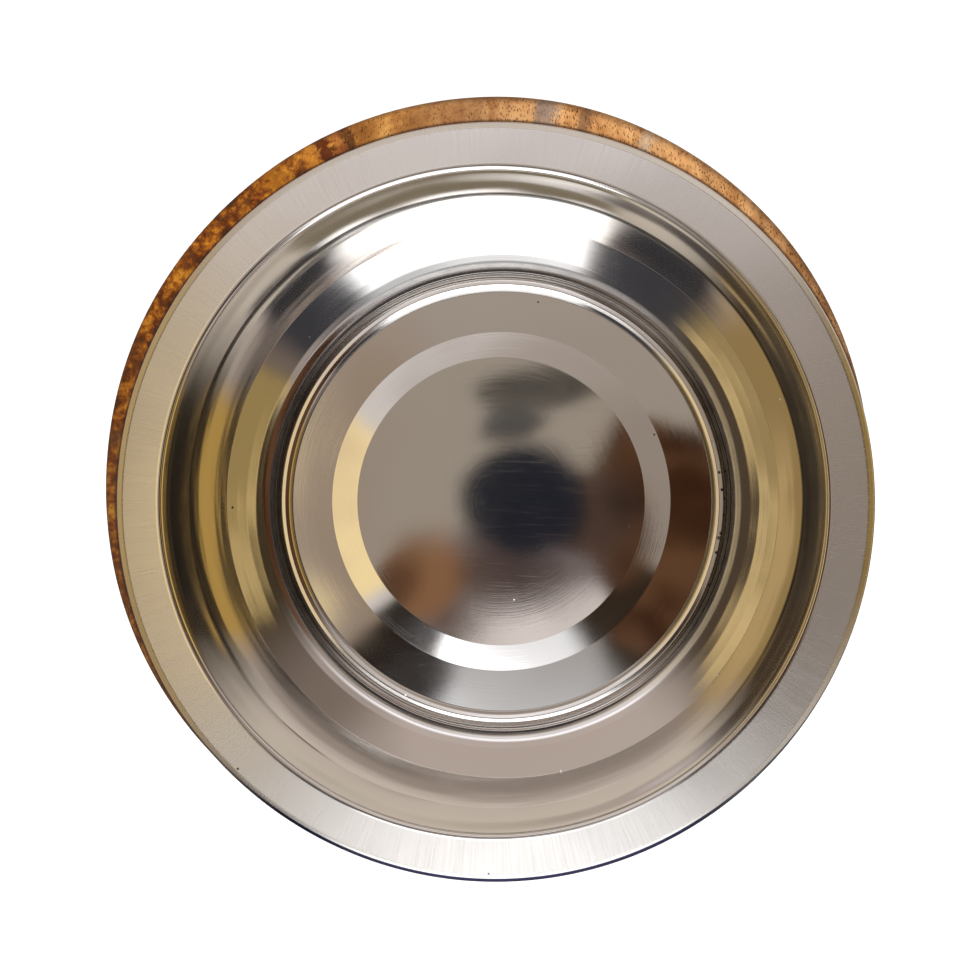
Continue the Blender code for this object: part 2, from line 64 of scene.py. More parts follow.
# =====================================================================
#  Node helpers
# =====================================================================
class Graph:
    """Small helper that writes shader nodes as expressions."""

    def __init__(self, tree):
        self.t = tree
        self.t.nodes.clear()

    def node(self, kind, **props):
        n = self.t.nodes.new(kind)
        for k, v in props.items():
            setattr(n, k, v)
        return n

    def put(self, socket, value):
        if value is None:
            return
        if isinstance(value, bpy.types.NodeSocket):
            self.t.links.new(value, socket)
        elif isinstance(value, (tuple, list)):
            v = tuple(value)
            if socket.type == "RGBA" and len(v) == 3:
                v = (*v, 1.0)
            socket.default_value = v
        else:
            if socket.type == "VECTOR":
                socket.default_value = (value, value, value)
            elif socket.type == "RGBA":
                socket.default_value = (value, value, value, 1.0)
            else:
                socket.default_value = value

    def m(self, op, a, b=None, c=None, clamp=False):
        n = self.node("ShaderNodeMath", operation=op, use_clamp=clamp)
        self.put(n.inputs[0], a)
        self.put(n.inputs[1], b)
        self.put(n.inputs[2], c)
        return n.outputs[0]

    def v(self, op, a, b=None, c=None):
        n = self.node("ShaderNodeVectorMath", operation=op)
        self.put(n.inputs[0], a)
        if op == "SCALE":
            self.put(n.inputs[3], b)
        else:
            self.put(n.inputs[1], b)
            self.put(n.inputs[2], c)
        return n.outputs[1] if op in ("LENGTH", "DISTANCE", "DOT_PRODUCT") else n.outputs[0]

    def xyz(self, vec):
        n = self.node("ShaderNodeSeparateXYZ")
        self.put(n.inputs[0], vec)
        return n.outputs[0], n.outputs[1], n.outputs[2]

    def vec(self, x=0.0, y=0.0, z=0.0):
        n = self.node("ShaderNodeCombineXYZ")
        self.put(n.inputs[0], x)
        self.put(n.inputs[1], y)
        self.put(n.inputs[2], z)
        return n.outputs[0]

    def noise(self, vec, scale, detail=2.0, rough=0.5, lac=2.0, dist=0.0, colour=False):
        n = self.node("ShaderNodeTexNoise", noise_dimensions="3D")
        self.put(n.inputs["Vector"], vec)
        self.put(n.inputs["Scale"], scale)
        self.put(n.inputs["Detail"], detail)
        self.put(n.inputs["Roughness"], rough)
        self.put(n.inputs["Lacunarity"], lac)
        self.put(n.inputs["Distortion"], dist)
        return n.outputs["Color"] if colour else n.outputs["Fac"]

    def voronoi(self, vec, scale, feature="F1", rnd=1.0, out="Distance"):
        n = self.node("ShaderNodeTexVoronoi", voronoi_dimensions="3D", feature=feature)
        self.put(n.inputs["Vector"], vec)
        self.put(n.inputs["Scale"], scale)
        self.put(n.inputs["Randomness"], rnd)
        return n.outputs[out]

    def white(self, vec):
        n = self.node("ShaderNodeTexWhiteNoise", noise_dimensions="3D")
        self.put(n.inputs["Vector"], vec)
        return n.outputs["Value"]

    def remap(self, x, a, b, c=0.0, d=1.0, smooth=False):
        n = self.node("ShaderNodeMapRange", interpolation_type="SMOOTHSTEP" if smooth else "LINEAR")
        n.clamp = True
        self.put(n.inputs["Value"], x)
        self.put(n.inputs["From Min"], a)
        self.put(n.inputs["From Max"], b)
        self.put(n.inputs["To Min"], c)
        self.put(n.inputs["To Max"], d)
        return n.outputs["Result"]

    def step(self, x, a, b):
        """0 below a, 1 above b, smooth in between."""
        return self.remap(x, a, b, 0.0, 1.0, smooth=True)

    def band(self, x, lo, hi, s0, s1=None):
        """1 between lo and hi with soft edges of half widths s0 and s1."""
        s1 = s0 if s1 is None else s1
        up = self.step(x, lo - s0, lo + s0)
        dn = self.remap(x, hi - s1, hi + s1, 1.0, 0.0, smooth=True)
        return self.m("MULTIPLY", up, dn)

    def ramp(self, x, stops, interp="LINEAR"):
        n = self.node("ShaderNodeValToRGB")
        cr = n.color_ramp
        cr.interpolation = interp
        while len(cr.elements) > 1:
            cr.elements.remove(cr.elements[-1])
        cr.elements[0].position = stops[0][0]
        cr.elements[0].color = (*stops[0][1], 1.0)
        for p, c in stops[1:]:
            e = cr.elements.new(p)
            e.color = (*c, 1.0)
        self.put(n.inputs[0], x)
        return n.outputs[0]

    def mix(self, fac, a, b, blend="MIX"):
        n = self.node("ShaderNodeMix", data_type="RGBA", blend_type=blend)
        n.clamp_factor = True
        self.put(n.inputs[0], fac)
        self.put(n.inputs[6], a)
        self.put(n.inputs[7], b)
        return n.outputs[2]

    def lerp(self, fac, a, b):
        n = self.node("ShaderNodeMix", data_type="FLOAT")
        n.clamp_factor = True
        self.put(n.inputs[0], fac)
        self.put(n.inputs[2], a)
        self.put(n.inputs[3], b)
        return n.outputs[0]

    def bump(self, height, distance, strength=1.0, normal=None):
        n = self.node("ShaderNodeBump")
        self.put(n.inputs["Strength"], strength)
        self.put(n.inputs["Distance"], distance)
        self.put(n.inputs["Height"], height)
        if normal is not None:
            self.put(n.inputs["Normal"], normal)
        return n.outputs["Normal"]


def new_material(name):
    mat = bpy.data.materials.new(name)
    mat.use_nodes = True
    g = Graph(mat.node_tree)
    out = g.node("ShaderNodeOutputMaterial")
    bsdf = g.node("ShaderNodeBsdfPrincipled")
    g.t.links.new(bsdf.outputs[0], out.inputs[0])
    return mat, g, bsdf


# =====================================================================
#  Profiles and turning
# =====================================================================
def rounded(path, arc_step=0.35 * MM, line_step=6.0 * MM):
    """A polyline of (r, z, fillet radius) with its corners rounded off."""
    pts = []

    hold = 0.12 * MM        # extra points next to a fillet keep its shading to itself

    def add_line(p, q, after_fillet=False, before_fillet=False):
        d = math.hypot(q[0] - p[0], q[1] - p[1])
        n = max(1, int(d / line_step))
        ts = [i / n for i in range(1, n + 1)]
        if d > 4 * hold:
            if after_fillet:
                ts.append(hold / d)
            if before_fillet:
                ts.append(1.0 - hold / d)
        for t in sorted(ts):
            pts.append((p[0] + (q[0] - p[0]) * t, p[1] + (q[1] - p[1]) * t))

    last = (path[0][0], path[0][1])
    pts.append(last)
    filleted = False
    for i in range(1, len(path) - 1):
        a, b, c = path[i - 1], path[i], path[i + 1]
        ux, uz = a[0] - b[0], a[1] - b[1]
        vx, vz = c[0] - b[0], c[1] - b[1]
        lu, lv = math.hypot(ux, uz), math.hypot(vx, vz)
        ux, uz, vx, vz = ux / lu, uz / lu, vx / lv, vz / lv
        dot = max(-1.0, min(1.0, ux * vx + uz * vz))
        ang = math.acos(dot)
        rad = b[2]
        if rad <= 0 or ang > math.pi - 1e-3:
            add_line(last, (b[0], b[1]), filleted, False)
            last = (b[0], b[1])
            filleted = False
            continue
        t = rad / math.tan(ang / 2)
        t = min(t, 0.49 * lu, 0.49 * lv) if i not in (1, len(path) - 2) else min(t, 0.9 * min(lu, lv))
        rad = t * math.tan(ang / 2)
        p0 = (b[0] + ux * t, b[1] + uz * t)
        p1 = (b[0] + vx * t, b[1] + vz * t)
        bx, bz = ux + vx, uz + vz
        lb = math.hypot(bx, bz)
        dc = rad / math.sin(ang / 2)
        cx, cz = b[0] + bx / lb * dc, b[1] + bz / lb * dc
        a0 = math.atan2(p0[1] - cz, p0[0] - cx)
        a1 = math.atan2(p1[1] - cz, p1[0] - cx)
        da = (a1 - a0 + math.pi) % (2 * math.pi) - math.pi
        n = max(3, int(abs(da) * rad / arc_step), int(abs(math.degrees(da)) / 9))
        n = min(n, 28)
        add_line(last, p0, filleted, True)
        filleted = True
        for k in range(1, n + 1):
            ak = a0 + da * k / n
            pts.append((cx + rad * math.cos(ak), cz + rad * math.sin(ak)))
        last = pts[-1]
    add_line(last, (path[-1][0], path[-1][1]), filleted, False)
    out = [pts[0]]
    for p in pts[1:]:
        if math.hypot(p[0] - out[-1][0], p[1] - out[-1][1]) > 0.01 * MM:
            out.append(p)
    return out


def offset_path(path, d):
    """The same polyline moved by d to its right-hand (hidden) side."""
    n = len(path)
    dirs = []
    for i in range(n - 1):
        dx, dz = path[i + 1][0] - path[i][0], path[i + 1][1] - path[i][1]
        ln = math.hypot(dx, dz)
        dirs.append((dx / ln, dz / ln))
    out = []
    for i in range(n):
        if i == 0:
            nx, nz = dirs[0][1], -dirs[0][0]
            out.append((path[i][0] + nx * d, path[i][1] + nz * d, 0.0))
            continue
        if i == n - 1:
            nx, nz = dirs[-1][1], -dirs[-1][0]
            out.append((path[i][0] + nx * d, path[i][1] + nz * d, 0.0))
            continue
        a, b = dirs[i - 1], dirs[i]
        n0 = (a[1], -a[0])
        n1 = (b[1], -b[0])
        mx, mz = n0[0] + n1[0], n0[1] + n1[1]
        ml = math.hypot(mx, mz)
        mx, mz = mx / ml, mz / ml
        k = d / max(0.35, mx * n0[0] + mz * n0[1])
        turn = a[0] * b[1] - a[1] * b[0]
        rad = path[i][2] + (d if turn > 0 else -d)
        out.append((path[i][0] + mx * k, path[i][1] + mz * k, max(rad, 0.3 * MM)))
    return out


def lathe(name, pts, seg, closed, shape=None, centre=(0.0, 0.0, 0.0), sharp=28.0):
    """Turn (radius, height) points about Z into a closed mesh.

    closed: the profile is a loop.  Otherwise it starts and ends on the axis.
    shape(r, z, angle) may return a changed (r, z) for hand-made irregularity.
    """
    pts = list(pts)
    ang = np.arange(seg) * (2 * math.pi / seg)
    ca, sa = np.cos(ang), np.sin(ang)
    verts, rings = [], []
    for r, z in pts:
        if r < 1e-7:
            rings.append([len(verts)])
            verts.append((0.0, 0.0, z))
            continue
        rr, zz = np.full(seg, r), np.full(seg, z)
        if shape is not None:
            rr, zz = shape(rr, zz, ang)
        start = len(verts)
        verts.extend(zip(rr * ca, rr * sa, zz))
        rings.append(list(range(start, start + seg)))
    faces = []
    pairs = list(zip(rings, rings[1:]))
    if closed:
        pairs.append((rings[-1], rings[0]))
    for a, b in pairs:
        if len(a) == 1 and len(b) == 1:
            continue
        for i in range(seg):
            j = (i + 1) % seg
            if len(a) == 1:
                faces.append((a[0], b[i], b[j]))
            elif len(b) == 1:
                faces.append((a[i], b[0], a[j]))
            else:
                faces.append((a[i], b[i], b[j], a[j]))
    me = bpy.data.meshes.new(name)
    me.from_pydata(verts, [], faces)
    me.update()
    me.shade_smooth()
    me.set_sharp_from_angle(angle=math.radians(sharp))
    ob = bpy.data.objects.new(name, me)
    bpy.context.scene.collection.objects.link(ob)
    ob.location = centre
    return ob


# =====================================================================
#  Where things are, from the frame
# =====================================================================
b_lo, b_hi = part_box("basin")
BASIN_C = Vector(((b_lo.x + b_hi.x) / 2, (b_lo.y + b_hi.y) / 2, b_hi.z))
h_lo, h_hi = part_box("bowl_housing")
WOOD_TOP = h_hi.z
HOUSING_BOTTOM = h_lo.z


# =====================================================================
#  Camera: looking down into the basin, a few degrees off the vertical
# =====================================================================
CAM_D = 0.650                       # height of the camera above the basin's crown
CAM_X = 0.045                       # and how far it stands to the right of its centre
CAM_RX, CAM_RY = math.radians(0.3855), math.radians(3.9346)
cam_data = bpy.data.cameras.new("camera")
cam = bpy.data.objects.new("camera", cam_data)
bpy.context.scene.collection.objects.link(cam)
bpy.context.scene.camera = cam
cam.location = (BASIN_C.x + CAM_X, BASIN_C.y, BASIN_C.z + CAM_D)
cam.rotation_euler = (CAM_RX, CAM_RY, 0.0)
cam_data.sensor_width = 36.0
cam_data.lens = 60.956
cam_data.clip_start = 0.05
cam_data.clip_end = 50.0
cam_data.dof.use_dof = False

# =====================================================================
#  World: a soft studio, a white window to the front and warm walls
# =====================================================================
def build_world():
    world = bpy.data.worlds.new("studio")
    bpy.context.scene.world = world
    world.use_nodes = True
    g = Graph(world.node_tree)
    out = g.node("ShaderNodeOutputWorld")
    tc = g.node("ShaderNodeTexCoord")
    d = g.v("NORMALIZE", tc.outputs["Generated"])
    x, y, z = g.xyz(d)
    psi = g.m("DEGREES", g.m("ARCCOSINE", z))
    phi = g.m("DEGREES", g.m("ARCTAN2", y, x))
    # a little wobble, so that no edge in the reflections is ruler straight
    wob = g.noise(d, 5.0, 2.0, 0.5)
    wob2 = g.noise(g.v("ADD", d, (3.1, 1.7, 0.3)), 9.0, 2.0, 0.5)
    phi_w = g.m("ADD", phi, g.m("MULTIPLY", g.m("SUBTRACT", wob, 0.5), 9.0))
    psi_w = g.m("ADD", psi, g.m("MULTIPLY", g.m("SUBTRACT", wob2, 0.5), 4.0))

    def sector(centre, half, soft, src=phi_w):
        rel = g.m("WRAP", g.m("SUBTRACT", src, centre), 180.0, -180.0)
        return g.band(rel, -half, half, soft)

    def wedge(tip, end, mid, w0, w1):
        """A panel in perspective: narrow at the azimuth tip, wide at the end.

        Gives the inside and the brighter hems."""
        rel = g.m("WRAP", g.m("SUBTRACT", phi_w, tip), 180.0, -180.0)
        rel = g.m("DIVIDE", rel, end - tip)
        w = g.remap(rel, 0.0, 1.0, w0, w1)
        off = g.m("ABSOLUTE", g.m("SUBTRACT", psi_w, mid))
        inside = g.step(g.m("SUBTRACT", w, off), -0.7, 0.7)
        ends = g.band(rel, 0.0, 1.0, 0.03)
        hem = g.step(g.m("SUBTRACT", off, g.m("SUBTRACT", w, 2.0)), -0.7, 0.7)
        inside = g.m("MULTIPLY", inside, ends)
        return inside, g.m("MULTIPLY", inside, hem)

    def lay(col, colour, az, el):
        """Lay a panel of one colour over the room: azimuth mask and tilt mask."""
        return g.mix(g.m("MULTIPLY", az, el), col, colour)

    # ceiling: dull overhead, lighter towards the walls
    col = g.ramp(g.m("DIVIDE", psi, 90.0), [
        (0.00, (0.44, 0.38, 0.31)), (0.10, (0.43, 0.38, 0.32)), (0.15, (0.44, 0.38, 0.33)),
        (0.226, (0.50, 0.44, 0.39)), (0.247, (0.86, 0.82, 0.81)), (0.30, (0.72, 0.66, 0.62)),
        (0.38, (0.58, 0.49, 0.44)), (0.52, (0.60, 0.52, 0.47)), (0.56, (0.98, 0.92, 0.80)),
        (0.68, (0.92, 0.84, 0.76)), (0.76, (0.50, 0.43, 0.38)), (1.00, (0.36, 0.31, 0.28))])
    # the corners of the room are duller than its walls
    for az, half in ((48.0, 18.0), (-8.0, 44.0)):
        col = lay(col, (0.25, 0.195, 0.165), sector(az, half, 12.0), g.band(psi, 30.0, 49.0, 3.0))
    # and the wall behind is whiter higher up
    psi_n = g.m("ADD", psi, g.m("MULTIPLY", x, 10.7))
    col = lay(col, (1.42, 1.40, 1.48), sector(98.0, 50.0, 16.0), g.band(psi_n, 22.0, 28.5, 0.7, 2.5))
    # east: a dull wall with low warm panels
    e_az = sector(0.0, 52.0, 26.0)
    col = lay(col, (0.38, 0.32, 0.27), e_az, g.band(psi, 13.0, 26.0, 3.0))
    col = lay(col, (0.060, 0.042, 0.022), sector(4.0, 34.0, 14.0), g.band(psi_w, 22.5, 64.0, 2.0))
    body, hem = wedge(29.0, -33.0, 36.5, 0.3, 8.0)
    col = lay(col, (0.40, 0.285, 0.11), body, 1.0)
    col = lay(col, (0.74, 0.545, 0.235), hem, 1.0)
    col = lay(col, (0.72, 0.47, 0.13), sector(4.0, 27.0, 6.0), g.band(psi_w, 60.0, 92.0, 2.5))
    # west: a bright warm panel high up, dark round it, warm again low down
    col = lay(col, (0.40, 0.31, 0.235), sector(178.0, 46.0, 14.0), g.band(psi, 9.0, 18.0, 2.0))
    col = lay(col, (0.088, 0.062, 0.040), sector(182.0, 43.0, 11.0), g.band(psi_w, 27.0, 62.0, 1.8))
    col = lay(col, (1.20, 0.96, 0.52), sector(181.0, 28.0, 2.5), g.band(psi_w, 18.3, 27.5, 1.1, 1.6))
    col = lay(col, (0.92, 0.71, 0.42), sector(177.0, 38.0, 9.0), g.band(psi_w, 23.6, 27.5, 0.8, 1.6))
    body, hem = wedge(136.0, 222.0, 45.0, 1.0, 6.2)
    col = lay(col, (0.40, 0.29, 0.125), body, 1.0)
    col = lay(col, (0.80, 0.60, 0.28), hem, 1.0)
    col = lay(col, (0.84, 0.63, 0.30), sector(153.0, 6.0, 6.0), g.band(psi_w, 41.0, 47.0, 2.0))
    col = lay(col, (0.46, 0.32, 0.13), sector(180.0, 40.0, 10.0), g.band(psi_w, 58.0, 92.0, 3.0))
    col = lay(col, (0.74, 0.54, 0.25), sector(166.0, 26.0, 8.0), g.band(psi_w, 66.0, 72.0, 1.6))
    # the window to the south: a tall white pane with a dull rail across it
    win_hi = g.m("MULTIPLY", sector(262.0, 36.0, 5.0), g.band(psi, 10.0, 27.0, 5.0, 1.5))
    win_lo = g.m("MULTIPLY", sector(273.0, 30.0, 3.0), g.band(psi, 27.0, 95.0, 1.5))
    win = g.m("MAXIMUM", win_hi, win_lo)
    wcol = g.ramp(g.m("DIVIDE", psi, 90.0), [
        (0.10, (0.50, 0.49, 0.50)), (0.15, (0.60, 0.60, 0.61)), (0.19, (1.00, 1.02, 1.05)),
        (0.220, (1.25, 1.27, 1.31)), (0.238, (3.3, 3.34, 3.4)), (0.275, (2.20, 2.22, 2.26)), (0.31, (0.46, 0.47, 0.49)),
        (0.36, (0.82, 0.84, 0.87)), (0.41, (2.2, 2.25, 2.3)), (0.50, (2.9, 2.95, 3.0)), (0.55, (0.36, 0.31, 0.22)),
        (0.635, (0.34, 0.29, 0.21)), (0.67, (2.6, 2.65, 2.7)), (0.90, (2.4, 2.4, 2.4))])
    col = g.mix(win, col, wcol)
    # dark jambs either side of the window
    jamb, jamb2 = (0.020, 0.014, 0.011), (0.050, 0.050, 0.058)
    col = lay(col, jamb, sector(226.0, 12.0, 2.0), g.band(psi_w, 8.0, 24.0, 2.0, 1.0))
    col = lay(col, (0.085, 0.082, 0.085), sector(232.0, 5.0, 2.5), g.band(psi_w, 17.6, 21.8, 0.8, 1.0))
    col = lay(col, (0.035, 0.022, 0.012), sector(311.0, 21.0, 4.0), g.band(psi_w, 8.0, 20.3, 2.0, 1.0))
    for lo_, hi_, wide in ((30.5, 48.0, 0.0), (59.5, 74.0, -1.0)):
        col = lay(col, jamb2, sector(231.5, 11.5 + wide, 4.0), g.band(psi_w, lo_, hi_, 2.4))
        col = lay(col, jamb2, sector(309.5, 11.0 + wide, 4.0), g.band(psi_w, lo_, hi_, 2.4))

    # under the horizon: dark, a little lighter to the north
    low = g.mix(g.remap(y, -0.1, 0.7, 0.0, 1.0, smooth=True), (0.15, 0.14, 0.145), (0.92, 0.88, 0.86))
    col = g.mix(g.step(psi, 84.0, 95.0), col, low)

    # matt surfaces get an even neutral fill, the camera a plain pale backdrop
    lp = g.node("ShaderNodeLightPath")
    seen = g.mix(lp.outputs["Is Diffuse Ray"], col, (0.80, 0.795, 0.785))
    seen = g.mix(lp.outputs["Is Camera Ray"], seen, (0.955, 0.955, 0.95))
    bg = g.node("ShaderNodeBackground")
    g.put(bg.inputs[0], seen)
    bg.inputs[1].default_value = 1.0
    g.t.links.new(bg.outputs[0], out.inputs[0])


build_world()


# =====================================================================
#  Studio cards over the basin, seen only in its reflections
# =====================================================================
def card(name, pts, z, colour, soft_noise=0.0, two=None, tilt=0.0):
    """A flat card of the outline pts (metres from the basin's centre)."""
    me = bpy.data.meshes.new(name)
    me.from_pydata([(BASIN_C.x + a, BASIN_C.y + b, z) for a, b in pts], [], [tuple(range(len(pts)))[::-1]])
    me.update()
    ob = bpy.data.objects.new(name, me)
    bpy.context.scene.collection.objects.link(ob)
    mat = bpy.data.materials.new(name)
    mat.use_nodes = True
    g = Graph(mat.node_tree)
    out = g.node("ShaderNodeOutputMaterial")
    em = g.node("ShaderNodeEmission")
    tc = g.node("ShaderNodeTexCoord")
    n = g.noise(tc.outputs["Object"], 16.0, 2.0)
    g.put(em.inputs[0], g.mix(g.remap(n, 0.38, 0.62, 0.0, 1.0, smooth=True), colour, two or colour))
    g.t.links.new(em.outputs[0], out.inputs[0])
    me.materials.append(mat)
    ob.visible_camera = False
    ob.visible_diffuse = False
    ob.visible_shadow = False
    ob.visible_transmission = False
    ob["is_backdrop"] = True
    return ob


def oval(cx, cy, rx, ry, n=64, wave=0.0, k=3, ph=0.0):
    return [(cx + rx * (1 + wave * math.sin(k * t + ph)) * math.cos(t),
             cy + ry * (1 + wave * math.sin(k * t + ph)) * math.sin(t))
            for t in [2 * math.pi * i / n for i in range(n)]]


# heights above the basin in metres; outlines from where each card shows on the disc
CARD_Z = BASIN_C.z + CAM_D
DISC_Z = BASIN_C.z - 0.0682


def on_card(px, py, height=CARD_Z):
    """Where a card must be to show at a pixel of the flat disc."""
    f = 60.956 / 36.0 * 980.0
    v = Matrix.Rotation(CAM_RY, 3, "Y") @ Matrix.Rotation(CAM_RX, 3, "X") @ Vector(((px - 490) / f, (490 - py) / f, -1.0))
    down = (cam.location.z - DISC_Z) / -v.z
    up = (height - DISC_Z) / -v.z
    return (CAM_X + v.x * (down + up), v.y * (down + up))


def card_oval(px, py, rx, ry, z, **kw):
    cx, cy = on_card(px, py, z)
    k = ((cam.location.z - DISC_Z) + (z - DISC_Z)) / (60.956 / 36.0 * 980.0)
    return oval(cx, cy, rx * k, ry * k, **kw)


card("card_round", card_oval(527, 503, 58, 53, CARD_Z, wave=0.02, k=4), CARD_Z, (0.016, 0.019, 0.028))
card("card_brown", oval(0.150, -0.040, 0.118, 0.160, wave=0.03, k=3, ph=1.0), CARD_Z + 0.004,
     (0.045, 0.017, 0.007), two=(0.145, 0.068, 0.032))
card("card_link", card_oval(584, 512, 62, 46, CARD_Z + 0.002, wave=0.07, k=3, ph=0.4), CARD_Z + 0.002,
     (0.026, 0.015, 0.012), two=(0.085, 0.050, 0.036))
card("card_warm", card_oval(425, 580, 50, 42, CARD_Z + 0.006, wave=0.06, k=3, ph=0.3), CARD_Z + 0.006,
     (0.10, 0.045, 0.022), two=(0.30, 0.15, 0.070))
card("card_shade", card_oval(505, 572, 90, 34, CARD_Z + 0.007, wave=0.05, k=3, ph=2.0), CARD_Z + 0.007,
     (0.085, 0.060, 0.056), two=(0.24, 0.205, 0.20))
card("card_grey", card_oval(540, 384, 74, 24, CARD_Z + 0.008, wave=0.05, k=2, ph=0.8), CARD_Z + 0.008,
     (0.075, 0.068, 0.060), two=(0.15, 0.135, 0.115))
card("card_grey_2", card_oval(512, 424, 36, 20, CARD_Z + 0.010, wave=0.04, k=4, ph=0.6), CARD_Z + 0.010,
     (0.085, 0.080, 0.072), two=(0.10, 0.10, 0.10))
card("card_shade_2", card_oval(440, 612, 42, 32, CARD_Z + 0.009, wave=0.06, k=3, ph=1.2), CARD_Z + 0.009,
     (0.10, 0.070, 0.062), two=(0.20, 0.155, 0.145))
card("card_glow", card_oval(560, 632, 96, 46, CARD_Z + 0.012, wave=0.03, k=2, ph=0.0), CARD_Z + 0.012,
     (1.00, 0.93, 0.90), two=(0.80, 0.73, 0.70))


def area(name, loc, target, size, power, colour=(1, 1, 1), glossy=False):
    ld = bpy.data.lights.new(name, "AREA")
    ld.shape = "DISK"
    ld.size = size
    ld.energy = power
    ld.color = colour
    lo = bpy.data.objects.new(name, ld)
    bpy.context.scene.collection.objects.link(lo)
    lo.location = loc
    lo.rotation_euler = (Vector(target) - Vector(loc)).to_track_quat("-Z", "Y").to_euler()
    lo.visible_camera = False
    lo.visible_glossy = glossy
    return lo


area("top_soft", (0.3, -0.8, 3.6), (0, 0, 0.2), 3.6, 92.0)
area("fill_left", (-2.8, -1.6, 1.8), (0, 0, 0.4), 2.2, 20.0)
area("fill_back", (1.6, 2.8, 1.9), (0, 0, 0.4), 2.2, 14.0)


# =====================================================================
#  Floor
# =====================================================================
def build_floor():
    me = bpy.data.meshes.new("floor")
    s = 9.0
    me.from_pydata([(-s, -s, 0), (s, -s, 0), (s, s, 0), (-s, s, 0)], [], [(0, 1, 2, 3)])
    ob = bpy.data.objects.new("floor", me)
    bpy.context.scene.collection.objects.link(ob)
    mat, g, p = new_material("floor_pale")
    tc = g.node("ShaderNodeTexCoord")
    n = g.noise(tc.outputs["Object"], 0.8, 2.0)
    g.put(p.inputs["Base Color"], g.mix(g.remap(n, 0.3, 0.7), (0.90, 0.90, 0.895), (0.92, 0.92, 0.915)))
    p.inputs["Roughness"].default_value = 0.9
    p.inputs["Specular IOR Level"].default_value = 0.1
    me.materials.append(mat)
    ob.location.z = -0.0004
    ob.visible_glossy = False
    ob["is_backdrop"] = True


build_floor()


